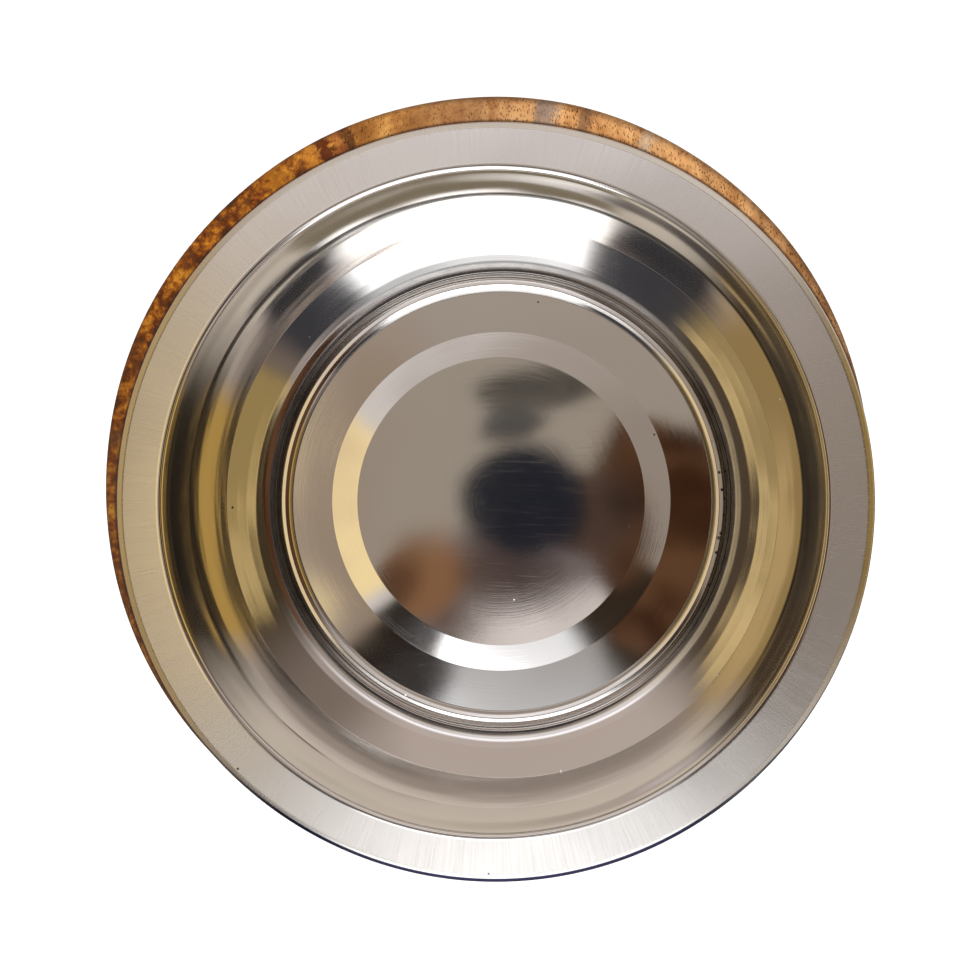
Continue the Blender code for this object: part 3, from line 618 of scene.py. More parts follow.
# =====================================================================
#  Stainless steel
# =====================================================================
def steel_material():
    mat, g, p = new_material("stainless_basin")
    tc = g.node("ShaderNodeTexCoord")
    pos = tc.outputs["Object"]            # metres, origin on the basin's axis at the crown
    x, y, z = g.xyz(pos)
    r = g.v("LENGTH", g.vec(x, y, 0.0))
    rmm = g.m("MULTIPLY", r, 1000.0)
    zmm = g.m("MULTIPLY", z, 1000.0)
    ang = g.m("ARCTAN2", y, x)
    ca = g.m("COSINE", ang)
    sa = g.m("SINE", ang)

    # coordinates for spun marks: fine across the radius, long round the circle
    spun = g.vec(g.m("MULTIPLY", ca, 0.6), g.m("MULTIPLY", sa, 0.6), g.m("MULTIPLY", rmm, 3.0))
    # coordinates for cross-buffed marks: fine round the circle, long across
    cross = g.vec(g.m("MULTIPLY", ca, 210.0), g.m("MULTIPLY", sa, 210.0), g.m("MULTIPLY", rmm, 0.030))

    flange = g.step(rmm, 132.6, 133.6)
    floor_m = g.m("MULTIPLY", g.remap(rmm, 92.0, 93.0, 1.0, 0.0), g.remap(zmm, -60.0, -64.0, 0.0, 1.0))
    disc = g.remap(rmm, 61.6, 62.6, 1.0, 0.0)

    # roughness
    n_big = g.noise(pos, 26.0, 3.0, 0.55)
    n_spun = g.noise(spun, 1.0, 4.0, 0.7)
    n_cross = g.noise(cross, 1.0, 3.0, 0.75)
    n_cross2 = g.noise(g.v("SCALE", cross, 2.7), 1.0, 2.0, 0.6)
    rough_wall = g.m("ADD", 0.085, g.m("MULTIPLY", g.m("SUBTRACT", n_big, 0.5), 0.10))
    rough_wall = g.m("ADD", rough_wall, g.m("MULTIPLY", g.m("SUBTRACT", n_spun, 0.5), 0.06))
    rough_floor = g.m("ADD", 0.060, g.m("MULTIPLY", g.m("SUBTRACT", n_big, 0.45), 0.06))
    rough_fl = g.m("ADD", 0.255, g.m("MULTIPLY", g.m("SUBTRACT", n_cross, 0.5), 0.13))
    rough_fl = g.m("ADD", rough_fl, g.m("MULTIPLY", g.m("SUBTRACT", n_big, 0.5), 0.05))
    rough = g.lerp(floor_m, rough_wall, rough_floor)
    rough = g.lerp(flange, rough, rough_fl)

    # hairline scratches: straight and long across the disc, short elsewhere
    def hairlines(vec, angle, length, width, seed, keep):
        c, s = math.cos(angle), math.sin(angle)
        uu = g.m("ADD", g.m("MULTIPLY", x, c), g.m("MULTIPLY", y, s))
        vv = g.m("SUBTRACT", g.m("MULTIPLY", y, c), g.m("MULTIPLY", x, s))
        bend = g.m("MULTIPLY", g.noise(g.vec(g.m("MULTIPLY", uu, 14.0), seed, 0.0), 1.0, 1.0), 0.003)
        q = g.vec(g.m("MULTIPLY", uu, 1.0 / length), g.m("MULTIPLY", g.m("ADD", vv, bend), 1.0 / width), seed)
        nn = g.noise(q, 1.0, 1.0, 0.5)
        return g.remap(nn, keep, keep + 0.10, 0.0, 1.0)

    scr = hairlines(pos, math.radians(-2.0), 0.026, 0.00030, 3.3, 0.66)
    scr_b = hairlines(pos, math.radians(7.0), 0.012, 0.00060, 8.1, 0.68)
    scr_c = hairlines(pos, math.radians(62.0), 0.010, 0.00050, 5.7, 0.72)
    centre_zone = g.remap(g.v("DISTANCE", pos, (0.012, -0.006, -0.068)), 0.018, 0.055, 1.0, 0.15, smooth=True)
    scr = g.m("MULTIPLY", scr, centre_zone)
    scratches = g.m("MAXIMUM", scr, g.m("MULTIPLY", g.m("MAXIMUM", scr_b, scr_c), 0.45))
    scratches = g.m("MULTIPLY", scratches, g.remap(zmm, -60.0, -66.0, 0.08, 1.0))
    rough = g.m("ADD", rough, g.m("MULTIPLY", scratches, 0.06), clamp=True)

    # colour: warm grey steel, slightly uneven
    tint = g.noise(pos, 9.0, 2.0)
    col = g.mix(g.remap(tint, 0.3, 0.7), (0.735, 0.702, 0.672), (0.700, 0.672, 0.648))
    # painted shade and painted dark reflections in the groove, the crease and the roll, strongest to the sides, broken
    # up by noise
    painted_dark_noise = g.noise(g.vec(g.m("MULTIPLY", ca, 14.0), g.m("MULTIPLY", sa, 14.0), g.m("MULTIPLY", rmm, 0.8)), 1.0, 4.0, 0.7)
    groove = g.m("MULTIPLY", g.band(rmm, 97.4, 101.7, 0.4), g.remap(zmm, -70.4, -70.9, 0.0, 1.0))
    outer_groove_dark = g.m("MULTIPLY", g.band(rmm, 101.4, 104.4, 0.5), g.remap(zmm, -69.9, -70.3, 0.0, 1.0))
    beadfoot = g.m("MULTIPLY", g.band(rmm, 91.2, 92.9, 0.35), g.remap(zmm, -69.6, -70.1, 0.0, 1.0))
    crease = g.m("MULTIPLY", g.band(zmm, -20.2, -16.8, 0.5), g.remap(rmm, 126.5, 127.0, 1.0, 0.0))
    sides = g.remap(g.m("ABSOLUTE", ca), 0.55, 0.90, 0.0, 1.0, smooth=True)
    sides = g.m("MAXIMUM", sides, g.remap(sa, 0.5, 0.9, 0.0, 0.45))
    painted_dark_amt = g.m("MAXIMUM", g.m("MULTIPLY", g.m("MULTIPLY", groove, sides), 0.92), g.m("MULTIPLY", beadfoot, g.m("ADD", 0.30, g.m("MULTIPLY", sides, 0.45))))
    d_az = g.band(g.m("DEGREES", ang), -42.0, 128.0, 12.0)
    painted_dark_amt = g.m("MAXIMUM", painted_dark_amt, g.m("MULTIPLY", g.m("MULTIPLY", outer_groove_dark, d_az), 0.66))
    painted_dark_amt = g.m("MAXIMUM", painted_dark_amt, g.m("MULTIPLY", crease, g.remap(sa, -0.35, -0.75, 0.95, 0.0)))
    # painted dark reflection on the neck, left and right, in brown
    neck = g.m("MULTIPLY", g.band(zmm, -17.6, -5.4, 0.8), g.step(rmm, 123.0, 123.8))
    film_and_painted_dark = g.m("MAXIMUM", g.remap(ca, -0.88, -0.985, 0.0, 0.88, smooth=True), g.remap(g.m("ADD", g.m("MULTIPLY", ca, 0.99), g.m("MULTIPLY", sa, 0.12)), 0.86, 0.975, 0.0, 0.80, smooth=True))
    painted_dark_amt = g.m("MAXIMUM", painted_dark_amt, g.m("MULTIPLY", neck, film_and_painted_dark))
    # and a thin painted shade round the foot of the wall, strongest to the south-west
    foot = g.m("MULTIPLY", g.band(zmm, -63.0, -46.0, 1.0, 5.0), g.step(rmm, 118.6, 119.0))
    deg = g.m("DEGREES", ang)
    f_az = g.m("MAXIMUM", g.band(deg, -168.0, -105.0, 8.0), g.m("MULTIPLY", g.band(deg, -100.0, -42.0, 8.0), 0.35))
    f_az = g.m("MAXIMUM", f_az, g.band(deg, 138.0, 162.0, 6.0))
    painted_dark_amt = g.m("MAXIMUM", painted_dark_amt, g.m("MULTIPLY", g.m("MULTIPLY", foot, f_az), 0.46))
    painted_dark_amt = g.m("MULTIPLY", painted_dark_amt, g.remap(painted_dark_noise, 0.25, 0.70, 0.82, 1.0))
    # the painted shade and painted dark reflections above darken the colour to a deep brown
    col = g.mix(painted_dark_amt, col, (0.020, 0.013, 0.007))
    rough = g.m("ADD", rough, g.m("MULTIPLY", painted_dark_amt, 0.12), clamp=True)

    # painted dark reflection, blue-black, on the rolled edge, widest to the south
    south = g.remap(sa, -0.45, -0.86, 0.0, 1.0, smooth=True)
    edge_r = g.m("SUBTRACT", 149.50, g.m("MULTIPLY", south, 1.20))
    hem = g.remap(g.m("SUBTRACT", rmm, edge_r), 0.0, 0.22, 0.0, 1.0)
    hem = g.m("MULTIPLY", hem, g.remap(sa, 0.42, -0.10, 0.0, 0.72, smooth=True))
    hem = g.m("MAXIMUM", hem, g.m("MULTIPLY", g.remap(g.m("SUBTRACT", rmm, edge_r), 0.0, 0.22, 0.0, 1.0), south))
    col = g.mix(g.m("MULTIPLY", hem, 0.985), col, (0.008, 0.008, 0.036))
    # black specks by the bead and a few on the walls and the flange
    cell = g.voronoi(pos, 260.0, "F1", 1.0)
    pick = g.noise(pos, 34.0, 2.0)
    east = g.remap(ca, 0.80, 0.97, 0.0, 1.0)
    bead_zone = g.m("MULTIPLY", g.band(rmm, 94.6, 98.6, 0.5), g.m("MULTIPLY", east, g.remap(pick, 0.42, 0.54, 0.0, 1.0)))
    specks = g.m("MULTIPLY", g.remap(cell, 0.17, 0.25, 1.0, 0.0), bead_zone)
    cell2 = g.voronoi(pos, 120.0, "F1", 1.0)
    rare = g.voronoi(pos, 120.0, "F1", 1.0, "Color")
    rr, rg, rb = g.xyz(rare)
    few = g.m("MULTIPLY", g.remap(cell2, 0.045, 0.070, 1.0, 0.0), g.remap(rr, 0.955, 0.96, 0.0, 1.0))
    few = g.m("MULTIPLY", few, g.remap(rmm, 64.0, 70.0, 0.2, 1.0))
    specks = g.m("MAXIMUM", specks, few)
    col = g.mix(specks, col, (0.03, 0.025, 0.022))
    # pale dust specks
    dust = g.m("MULTIPLY", g.remap(g.voronoi(g.v("ADD", pos, (0.5, 0.2, 0.1)), 95.0, "F1", 1.0), 0.030, 0.055, 1.0, 0.0), 1.0)
    dcol = g.xyz(g.voronoi(g.v("ADD", pos, (0.5, 0.2, 0.1)), 95.0, "F1", 1.0, "Color"))[1]
    dust = g.m("MULTIPLY", dust, g.remap(dcol, 0.90, 0.905, 0.0, 1.0))
    col = g.mix(dust, col, (0.95, 0.93, 0.90))
    metal = g.m("SUBTRACT", 1.0, dust)
    metal = g.m("SUBTRACT", metal, g.m("MULTIPLY", g.m("MAXIMUM", painted_dark_amt, hem), 0.06), clamp=True)
    rough = g.m("MAXIMUM", rough, g.m("MULTIPLY", g.m("MAXIMUM", specks, dust), 0.6))

    # bump: buffing marks on the flange, spinning marks inside, scratches
    h = g.m("MULTIPLY", g.m("MULTIPLY", g.m("SUBTRACT", n_cross2, 0.5), flange), 0.035)
    h = g.m("ADD", h, g.m("MULTIPLY", g.m("MULTIPLY", g.m("SUBTRACT", n_spun, 0.5), g.m("SUBTRACT", 1.0, flange)), 0.22))
    h = g.m("SUBTRACT", h, g.m("MULTIPLY", scratches, 0.07))
    nrm = g.bump(h, 0.00002, 1.0)
    # slow dents that make the reflections swim
    slow = g.noise(pos, 17.0, 1.0, 0.4)
    nrm = g.bump(slow, 0.00055, 1.0, nrm)

    g.put(p.inputs["Base Color"], col)
    g.put(p.inputs["Metallic"], metal)
    g.put(p.inputs["Roughness"], rough)
    g.put(p.inputs["Normal"], nrm)
    p.inputs["Anisotropic"].default_value = 0.35
    tan = g.node("ShaderNodeTangent", direction_type="RADIAL", axis="Z")
    g.put(p.inputs["Tangent"], tan.outputs[0])
    return mat


def bowed(a, b, k, n):
    """Points between a and b that bow by k to the left of the line."""
    dr, dz = b[0] - a[0], b[1] - a[1]
    ln = math.hypot(dr, dz)
    nr, nz = -dz / ln, dr / ln
    return [(a[0] + dr * t + nr * k * 4 * t * (1 - t), a[1] + dz * t + nz * k * 4 * t * (1 - t), 0.0)
            for t in [i / n for i in range(1, n)]]


def basin_path():
    """Visible side of the basin: (radius, height below the crown, fillet), in mm."""
    foot, crease, neck = (119.2, -64.0), (124.0, -18.0), (128.7, -6.15)
    pts = [(0.0, -68.2, 0), (62.4, -68.2, 1.0), (73.6, -69.6, 2.0),
           (91.4, -70.7, 0.8), (92.85, -69.55, 0.5), (94.35, -69.15, 0.8), (96.1, -69.36, 0.6),
           (97.9, -71.75, 0.9), (99.3, -72.0, 0.45), (99.9, -71.4, 0.5),
           (101.6, -71.15, 14), (104.2, -70.45, 16), (107.4, -69.25, 20), (111.3, -67.6, 30), (115.2, -65.85, 30),
           (*foot, 0.12)]
    pts += bowed(foot, crease, -0.25, 7)
    pts += [(*crease, 0.6)]
    pts += bowed(crease, neck, -0.23, 5)
    pts += [(*neck, 0), (129.7, -3.25, 2.0), (131.0, 0.0, 2.2), (147.2, -1.3, 1.8),
            (150.0, -2.6, 1.2), (150.0, -3.8, 0)]
    return [(r * MM, z * MM, f * MM) for r, z, f in pts]


def build_basin():
    path = basin_path()
    top = rounded(path, 0.30 * MM, 3.0 * MM)
    low_path = offset_path(path, 1.0 * MM)
    low_path[0] = (0.0, low_path[0][1], 0.0)
    low = rounded(low_path, 0.6 * MM, 7.0 * MM)
    # close the lip with a small round edge
    a, b = top[-1], low[-1]
    mid = ((a[0] + b[0]) / 2, (a[1] + b[1]) / 2)
    edge = []
    for i in range(1, 6):
        t = math.pi * i / 6
        edge.append((mid[0] + (a[0] - mid[0]) * math.cos(t), mid[1] - 0.0 - 0.25 * MM * math.sin(t)))
    top = [p for p in top[:-1]] + [(a[0], a[1] + 0.25 * MM)]
    low = low[:-1] + [(b[0], b[1] + 0.25 * MM)]
    edge = [(e[0], e[1] + 0.25 * MM) for e in edge]
    prof = top + edge + low[::-1]

    def shape(r, z, a):
        # pressed sheet is never quite true: a few hundredths on the wall
        wall = np.clip((r - 0.101) / 0.012, 0, 1) * np.clip((0.1285 - r) / 0.004, 0, 1)
        d = (0.050 * np.sin(5 * a + 0.6) + 0.040 * np.sin(9 * a + 2.1)
             + 0.030 * np.sin(14 * a + 40 * z / 0.06) + 0.022 * np.sin(23 * a + 1.0)) * MM
        return r + d * wall, z

    ob = lathe("basin_steel", prof, 256, False, shape, BASIN_C, sharp=40.0)
    ob.data.materials.append(steel_material())
    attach(ob, "basin")
    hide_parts("basin")
    return ob


basin = build_basin()


# =====================================================================
#  Turned wood
# =====================================================================
def wood_material(name, grain="Z", seed=0.0, marks=(), rim=False, ring=7.5, gain=1.0):
    """Figured hardwood: growth bands, mottled colour, fibres and dark pores."""
    mat, g, p = new_material(name)
    tc = g.node("ShaderNodeTexCoord")
    pos = tc.outputs["Object"]
    x, y, z = g.xyz(pos)
    # put the grain along the third coordinate
    if grain == "Z":
        q = g.vec(x, y, z)
    elif grain == "Y":
        q = g.vec(x, z, y)
    else:
        q = g.vec(y, z, x)
    q = g.v("ADD", q, (seed * 0.37, seed * 0.53, seed * 0.71))
    # slow swirl of the grain
    warp = g.noise(q, 7.0, 3.0, 0.5, colour=True)
    warp = g.v("SCALE", g.v("SUBTRACT", warp, (0.5, 0.5, 0.5)), 0.030)
    qw = g.v("ADD", q, warp)
    wx, wy, wz = g.xyz(qw)
    # growth rings round a pith that lies outside the piece
    rx = g.m("ADD", wx, 0.23)
    ry = g.m("ADD", wy, 0.11)
    rad = g.v("LENGTH", g.vec(rx, ry, g.m("MULTIPLY", wz, 0.10)))
    rings = g.m("MULTIPLY", rad, 1000.0 / ring)
    jitter = g.noise(g.vec(0.0, 0.0, rings), 1.0, 2.0)
    rings = g.m("ADD", rings, g.m("MULTIPLY", jitter, 0.9))
    f = g.m("FRACT", rings)
    late = g.m("MULTIPLY", g.step(f, 0.45, 0.92), g.remap(f, 0.94, 1.0, 1.0, 0.0))
    # fibres, stretched along the grain
    fib = g.noise(g.vec(g.m("MULTIPLY", wx, 900.0), g.m("MULTIPLY", wy, 900.0), g.m("MULTIPLY", wz, 26.0)), 1.0, 4.0, 0.65)
    fib2 = g.noise(g.vec(g.m("MULTIPLY", wx, 260.0), g.m("MULTIPLY", wy, 260.0), g.m("MULTIPLY", wz, 9.0)), 1.0, 3.0, 0.6)
    # mottle at two sizes, and slow clouds of heartwood
    mott = g.noise(g.v("ADD", qw, (1.3, 0.2, 0.8)), 105.0, 3.0, 0.62)
    mott2 = g.noise(g.v("ADD", qw, (4.3, 2.2, 1.8)), 340.0, 3.0, 0.62)
    cloud = g.noise(g.v("ADD", q, (7.3, 3.2, 2.8)), 11.0, 2.0, 0.5)
    if rim:
        # one side of the block is pale sapwood, the other deep mottled heartwood
        side = g.remap(g.m("ADD", g.m("MULTIPLY", x, 0.86), g.m("MULTIPLY", y, 0.50)), -0.130, 0.105, 1.0, 0.0)
    else:
        side = g.remap(cloud, 0.30, 0.75, 0.10, 0.62)
    heart = g.m("ADD", side, g.m("MULTIPLY", g.m("SUBTRACT", cloud, 0.5), 0.25), clamp=True)
    pale_t = g.m("ADD", g.m("MULTIPLY", mott, 0.6), g.m("MULTIPLY", fib2, 0.4))
    pale_t = g.m("ADD", g.m("MULTIPLY", g.m("SUBTRACT", pale_t, 0.5), 1.25), 0.49)
    pale = g.ramp(pale_t, [
        (0.25, (0.490, 0.280, 0.125)), (0.45, (0.400, 0.205, 0.082)), (0.58, (0.285, 0.128, 0.042)),
        (0.80, (0.180, 0.070, 0.020))])
    deep_t = g.m("ADD", g.m("MULTIPLY", mott, 0.60), g.m("MULTIPLY", mott2, 0.52))
    deep_t = g.m("ADD", g.m("MULTIPLY", g.m("SUBTRACT", deep_t, 0.56), 1.75), 0.47)
    deep = g.ramp(deep_t, [
        (0.26, (0.420, 0.185, 0.022)), (0.40, (0.245, 0.084, 0.006)), (0.50, (0.125, 0.034, 0.0032)),
        (0.58, (0.072, 0.018, 0.0028)), (0.70, (0.028, 0.008, 0.0026)), (0.85, (0.012, 0.005, 0.003))])
    darker = g.remap(heart, 0.55, 0.95, 1.0, 0.62)
    deep = g.mix(g.m("SUBTRACT", 1.0, darker), deep, (0.040, 0.014, 0.006))
    blend = g.m("ADD", heart, g.m("MULTIPLY", g.m("SUBTRACT", mott, 0.5), 0.16 if rim else 0.45))
    col = g.mix(g.remap(blend, *((0.24, 0.50) if rim else (0.12, 0.82)), 0.0, 1.0, smooth=True), pale, deep)
    col = g.mix(g.m("MULTIPLY", late, 0.28), col, (0.110, 0.040, 0.012))
    col = g.mix(g.remap(fib, 0.30, 0.75, 0.0, 0.20), col, (0.090, 0.036, 0.013))
    # grey-olive cast in places
    cast = g.noise(g.v("ADD", q, (2.3, 9.2, 5.8)), 24.0, 2.0, 0.5)
    col = g.mix(g.remap(cast, 0.60, 0.80, 0.0, 0.30), col, (0.130, 0.092, 0.055))

    # pores: short dark dashes along the grain
    def pores(scale_across, scale_along, size, keep, sd):
        v3 = g.vec(g.m("MULTIPLY", wx, scale_across), g.m("MULTIPLY", wy, scale_across), g.m("MULTIPLY", wz, scale_along))
        v3 = g.v("ADD", v3, (sd, sd * 1.7, sd * 0.3))
        dist = g.voronoi(v3, 1.0, "F1", 1.0)
        pick = g.xyz(g.voronoi(v3, 1.0, "F1", 1.0, "Color"))[0]
        return g.m("MULTIPLY", g.remap(dist, size * 0.55, size, 1.0, 0.0), g.remap(pick, keep, keep + 0.02, 0.0, 1.0))

    po = g.m("MAXIMUM", pores(1150.0, 520.0, 0.33, 0.38, 0.0), pores(1700.0, 620.0, 0.36, 0.40, 11.0))
    po_big = pores(620.0, 260.0, 0.22, 0.66, 23.0)
    po = g.m("MAXIMUM", po, po_big)
    col = g.mix(g.m("MULTIPLY", po, g.remap(heart, 0.2, 0.7, 0.80, 0.45)), col, (0.040, 0.015, 0.007))

    rough = g.m("ADD", 0.46, g.m("MULTIPLY", g.m("SUBTRACT", fib2, 0.5), 0.20))
    rough = g.m("ADD", rough, g.m("MULTIPLY", po, 0.25), clamp=True)
    h = g.m("SUBTRACT", g.m("MULTIPLY", fib, 0.25), g.m("MULTIPLY", po, 1.0))

    # marks in the rim: (azimuth in degrees, half width in degrees, colour, amount)
    az = g.m("DEGREES", g.m("ARCTAN2", y, x))
    fleck = g.noise(g.v("SCALE", pos, 420.0), 1.0, 4.0, 0.7)
    for (ma, mw, mcol, amt) in marks:
        da = g.m("ABSOLUTE", g.m("SUBTRACT", az, ma))
        da = g.m("ADD", da, g.m("MULTIPLY", g.m("SUBTRACT", fleck, 0.5), mw * 3.2))
        mk = g.remap(da, mw * 0.3, mw, amt, 0.0, smooth=True)
        mk = g.m("MULTIPLY", mk, g.remap(g.m("ADD", z, g.m("MULTIPLY", g.m("SUBTRACT", fleck, 0.5), 0.03)), WOOD_TOP - 0.016, WOOD_TOP - 0.004, 0.0, 1.0))
        col = g.mix(mk, col, mcol)

    # painted shade on the outer arris of the rim and a painted shadow under the basin's lip; two bands of the rim
    # lighter and more yellow
    if rim:
        # lighter from 44 to 84 degrees of azimuth, more yellow from 99 to 176 degrees
        col = g.mix(g.band(az, 44.0, 84.0, 8.0), col, (1.36, 1.34, 1.26), "MULTIPLY")
        col = g.mix(g.band(az, 99.0, 176.0, 8.0), col, (1.07, 0.94, 0.56), "MULTIPLY")
        # painted shade on the rounded outer arris
        rr = g.v("LENGTH", g.vec(x, y, 0.0))
        arris_shade = g.m("MULTIPLY", g.remap(rr, 0.1497, 0.1520, 0.0, 1.0), g.remap(z, WOOD_TOP - 0.006, WOOD_TOP - 0.0022, 0.0, 1.0))
        col = g.mix(g.m("MULTIPLY", arris_shade, 0.55), col, (0.055, 0.022, 0.010))
        # a thin painted shadow on the wood under the basin's lip
        under = g.v("LENGTH", g.vec(g.m("SUBTRACT", x, BASIN_C.x), g.m("SUBTRACT", y, BASIN_C.y), 0.0))
        under = g.m("MULTIPLY", g.remap(under, 0.1484, 0.1498, 0.0, 0.80), g.remap(under, 0.1504, 0.1514, 1.0, 0.0))
        col = g.mix(g.m("MULTIPLY", under, g.remap(z, WOOD_TOP - 0.002, WOOD_TOP - 0.0005, 0.0, 1.0)), col, (0.030, 0.014, 0.010))
    if gain != 1.0:
        col = g.mix(1.0, col, (gain, gain, gain), "MULTIPLY")

    g.put(p.inputs["Base Color"], col)
    g.put(p.inputs["Roughness"], rough)
    g.put(p.inputs["Normal"], g.bump(h, 0.00016, 0.7))
    p.inputs["Specular IOR Level"].default_value = 0.11
    return mat


def arc(cr, cz, rr, rz, a0, a1, n=24):
    """Points (mm, no fillet) on an ellipse from angle a0 to a1 in degrees."""
    return [(cr + rr * math.cos(math.radians(a0 + (a1 - a0) * i / n)),
             cz + rz * math.sin(math.radians(a0 + (a1 - a0) * i / n)), 0.0) for i in range(n + 1)]


def bezier(p0, p1, p2, n=22):
    out = []
    for i in range(n + 1):
        t = i / n
        a, b, c = (1 - t) ** 2, 2 * t * (1 - t), t * t
        out.append((a * p0[0] + b * p1[0] + c * p2[0], a * p0[1] + b * p1[1] + c * p2[1], 0.0))
    return out


def waist(r_top, r_mid, r_bot, z_top, z_bot, n=40):
    out = []
    for i in range(n + 1):
        t = i / n
        r = (1 - t) ** 2 * r_top + 2 * t * (1 - t) * (2 * r_mid - 0.5 * (r_top + r_bot)) + t * t * r_bot
        out.append((r, z_top + (z_bot - z_top) * t, 0.0))
    return out


def metres(path):
    return [(r * MM, z * MM, f * MM) for r, z, f in path]


def bored(ob, holes):
    """Cut round holes (x, y, z0, z1, radius) into a finished mesh."""
    if not holes:
        return
    me = bpy.data.meshes.new("drill")
    verts, faces = [], []
    for (hx, hy, z0, z1, hr) in holes:
        n, base = 32, len(verts)
        for zz in (z0, z1):
            verts += [(hx + hr * math.cos(2 * math.pi * i / n), hy + hr * math.sin(2 * math.pi * i / n), zz) for i in range(n)]
        faces += [(base + i, base + (i + 1) % n, base + n + (i + 1) % n, base + n + i) for i in range(n)]
        faces += [tuple(range(base + n - 1, base - 1, -1)), tuple(range(base + n, base + 2 * n))]
    me.from_pydata(verts, [], faces)
    me.update()
    drill = bpy.data.objects.new("drill", me)
    bpy.context.scene.collection.objects.link(drill)
    mod = ob.modifiers.new("holes", "BOOLEAN")
    mod.operation, mod.solver, mod.object = "DIFFERENCE", "EXACT", drill
    bpy.context.view_layer.update()
    cut = bpy.data.meshes.new_from_object(ob.evaluated_get(bpy.context.evaluated_depsgraph_get()))
    ob.modifiers.clear()
    ob.data = cut
    bpy.data.objects.remove(drill, do_unlink=True)


def dowel_holes(stem, z0=None, z1=None):
    """The holes for a set of dowels, from the dowels' own boxes."""
    out = []
    for i in (1, 2, 3):
        lo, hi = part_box("%s_%d" % (stem, i))
        out.append(((lo.x + hi.x) / 2, (lo.y + hi.y) / 2, lo.z - 0.0003, hi.z + 0.0003, (hi.x - lo.x) / 2 + 0.0003))
    return out


def turned(name, node, path, seg, mat, holes=(), sharp=32.0, shape=None, centre=(0.0, 0.0, 0.0), closed=True, body="stand"):
    ob = lathe(name, rounded(metres(path), 0.30 * MM, 4.0 * MM), seg, closed, shape, centre, sharp)
    ob.data.materials.append(mat)
    bored(ob, holes)
    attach(ob, body)
    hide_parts(node)
    return ob


T, B = WOOD_TOP / MM, HOUSING_BOTTOM / MM
C_LO, C_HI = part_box("bowl_collar")[0].z / MM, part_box("bowl_collar")[1].z / MM
K_LO, K_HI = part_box("column_knop")[0].z / MM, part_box("column_knop")[1].z / MM
M_LO, M_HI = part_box("base_moulding")[0].z / MM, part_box("base_moulding")[1].z / MM
P_LO, P_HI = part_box("base_plinth")[0].z / MM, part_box("base_plinth")[1].z / MM
BORE = 6.8


def build_housing():
    floor = T - 98.0
    pts = [(BORE, floor, 0.0)]
    pts += arc(85.0, T - 42.0, 55.0, 56.0, -90.0, 0.0, 18)
    pts += [(140.0, T, 1.2), (152.3, T, 2.6), (152.3, T - 26.5, 1.6)]
    # quirk and bead under the rim band
    pts += [(150.0, T - 27.6, 0.6), (150.0, T - 29.6, 0.6), (151.3, T - 30.2, 0.7), (151.3, T - 33.4, 0.9), (149.2, T - 34.2, 0.5)]
    pts += arc(80.0, T - 34.8, 69.2, 94.2, 0.0, -90.0, 30)
    pts += [(80.0, B, 0.6), (30.3, B, 0.0), (30.3, B + 12.3, 0.0), (BORE, B + 12.3, 0.0)]

    def shape(r, z, a):
        # turned green and dried: the rim is a little out of round
        w = np.clip((r - 0.135) / 0.012, 0, 1) * np.clip((z - (WOOD_TOP - 0.10)) / 0.06, 0, 1)
        d = (-0.44 * np.cos(2 * a) + 1.21 * np.sin(2 * a)
             + 0.16 * np.sin(5 * a + 0.7) + 0.10 * np.sin(9 * a + 2.0)) * MM
        return r + d * w, z

    marks = [
        (96.0, 12.0, (0.235, 0.105, 0.040), 0.50), (124.5, 3.0, (0.30, 0.125, 0.016), 0.60), (117.6, 1.3, (0.40, 0.17, 0.030), 0.55),
        (115.2, 1.8, (0.064, 0.012, 0.004), 0.92), (112.6, 1.0, (0.20, 0.060, 0.030), 0.60),
        (111.4, 1.3, (0.034, 0.010, 0.005), 0.80), (80.0, 2.5, (0.110, 0.105, 0.105), 0.66),
        (74.0, 1.2, (0.060, 0.030, 0.020), 0.60), (64.0, 1.3, (0.42, 0.42, 0.36), 0.25)]
    mat = wood_material("wood_housing", "Y", 1.0, marks, True)
    return turned("housing_wood", "bowl_housing", pts, 288, mat, dowel_holes("collar_dowel"), shape=shape)


def build_collar():
    mid = (C_HI + C_LO) / 2
    pts = [(30.3, C_HI, 0.0), (84.0, C_HI, 0.5), (84.0, C_HI - 1.9, 0.4)]
    pts += arc(84.2, mid, 7.3, 6.9, 88.0, -88.0, 26)
    pts += [(84.0, C_LO + 1.9, 0.4), (84.0, C_LO, 0.5), (30.3, C_LO, 0.0)]
    turned("collar_wood", "bowl_collar", pts, 224, wood_material("wood_collar", "Y", 2.0), dowel_holes("collar_dowel"))


def build_upper():
    cap = C_LO - 0.3
    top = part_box("column_upper")[1].z / MM
    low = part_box("column_upper")[0].z / MM
    foot = K_HI + 0.3
    pts = [(BORE, top, 0.0), (30.0, top, 0.8), (30.0, cap, 0.0), (70.0, cap, 1.0), (70.0, cap - 9.6, 0.9), (67.2, cap - 10.4, 0.4)]
    pts += [(67.2, cap - 12.6, 0.5)]
    pts += bezier((66.0, cap - 13.2), (46.2, cap - 16.2), (44.7, cap - 50.2))
    pts += [(44.6, cap - 52.6, 0.3), (46.4, cap - 52.9, 0.3)]
    pts += arc(44.2, cap - 58.0, 4.8, 4.8, 68.0, -68.0, 18)
    pts += [(46.0, cap - 62.9, 0.3), (43.8, cap - 63.3, 0.4)]
    pts += waist(43.6, 40.5, 47.0, cap - 64.0, foot + 27.0)
    pts += bezier((47.0, foot + 25.7), (47.4, foot + 11.9), (53.6, foot + 9.0), 16)
    pts += [(55.0, foot + 8.2, 0.7), (55.0, foot, 0.6), (25.0, foot, 0.0), (25.0, low, 0.8), (BORE, low, 0.0)]
    turned("column_upper_wood", "column_upper", pts, 192, wood_material("wood_upper", "Z", 3.0))


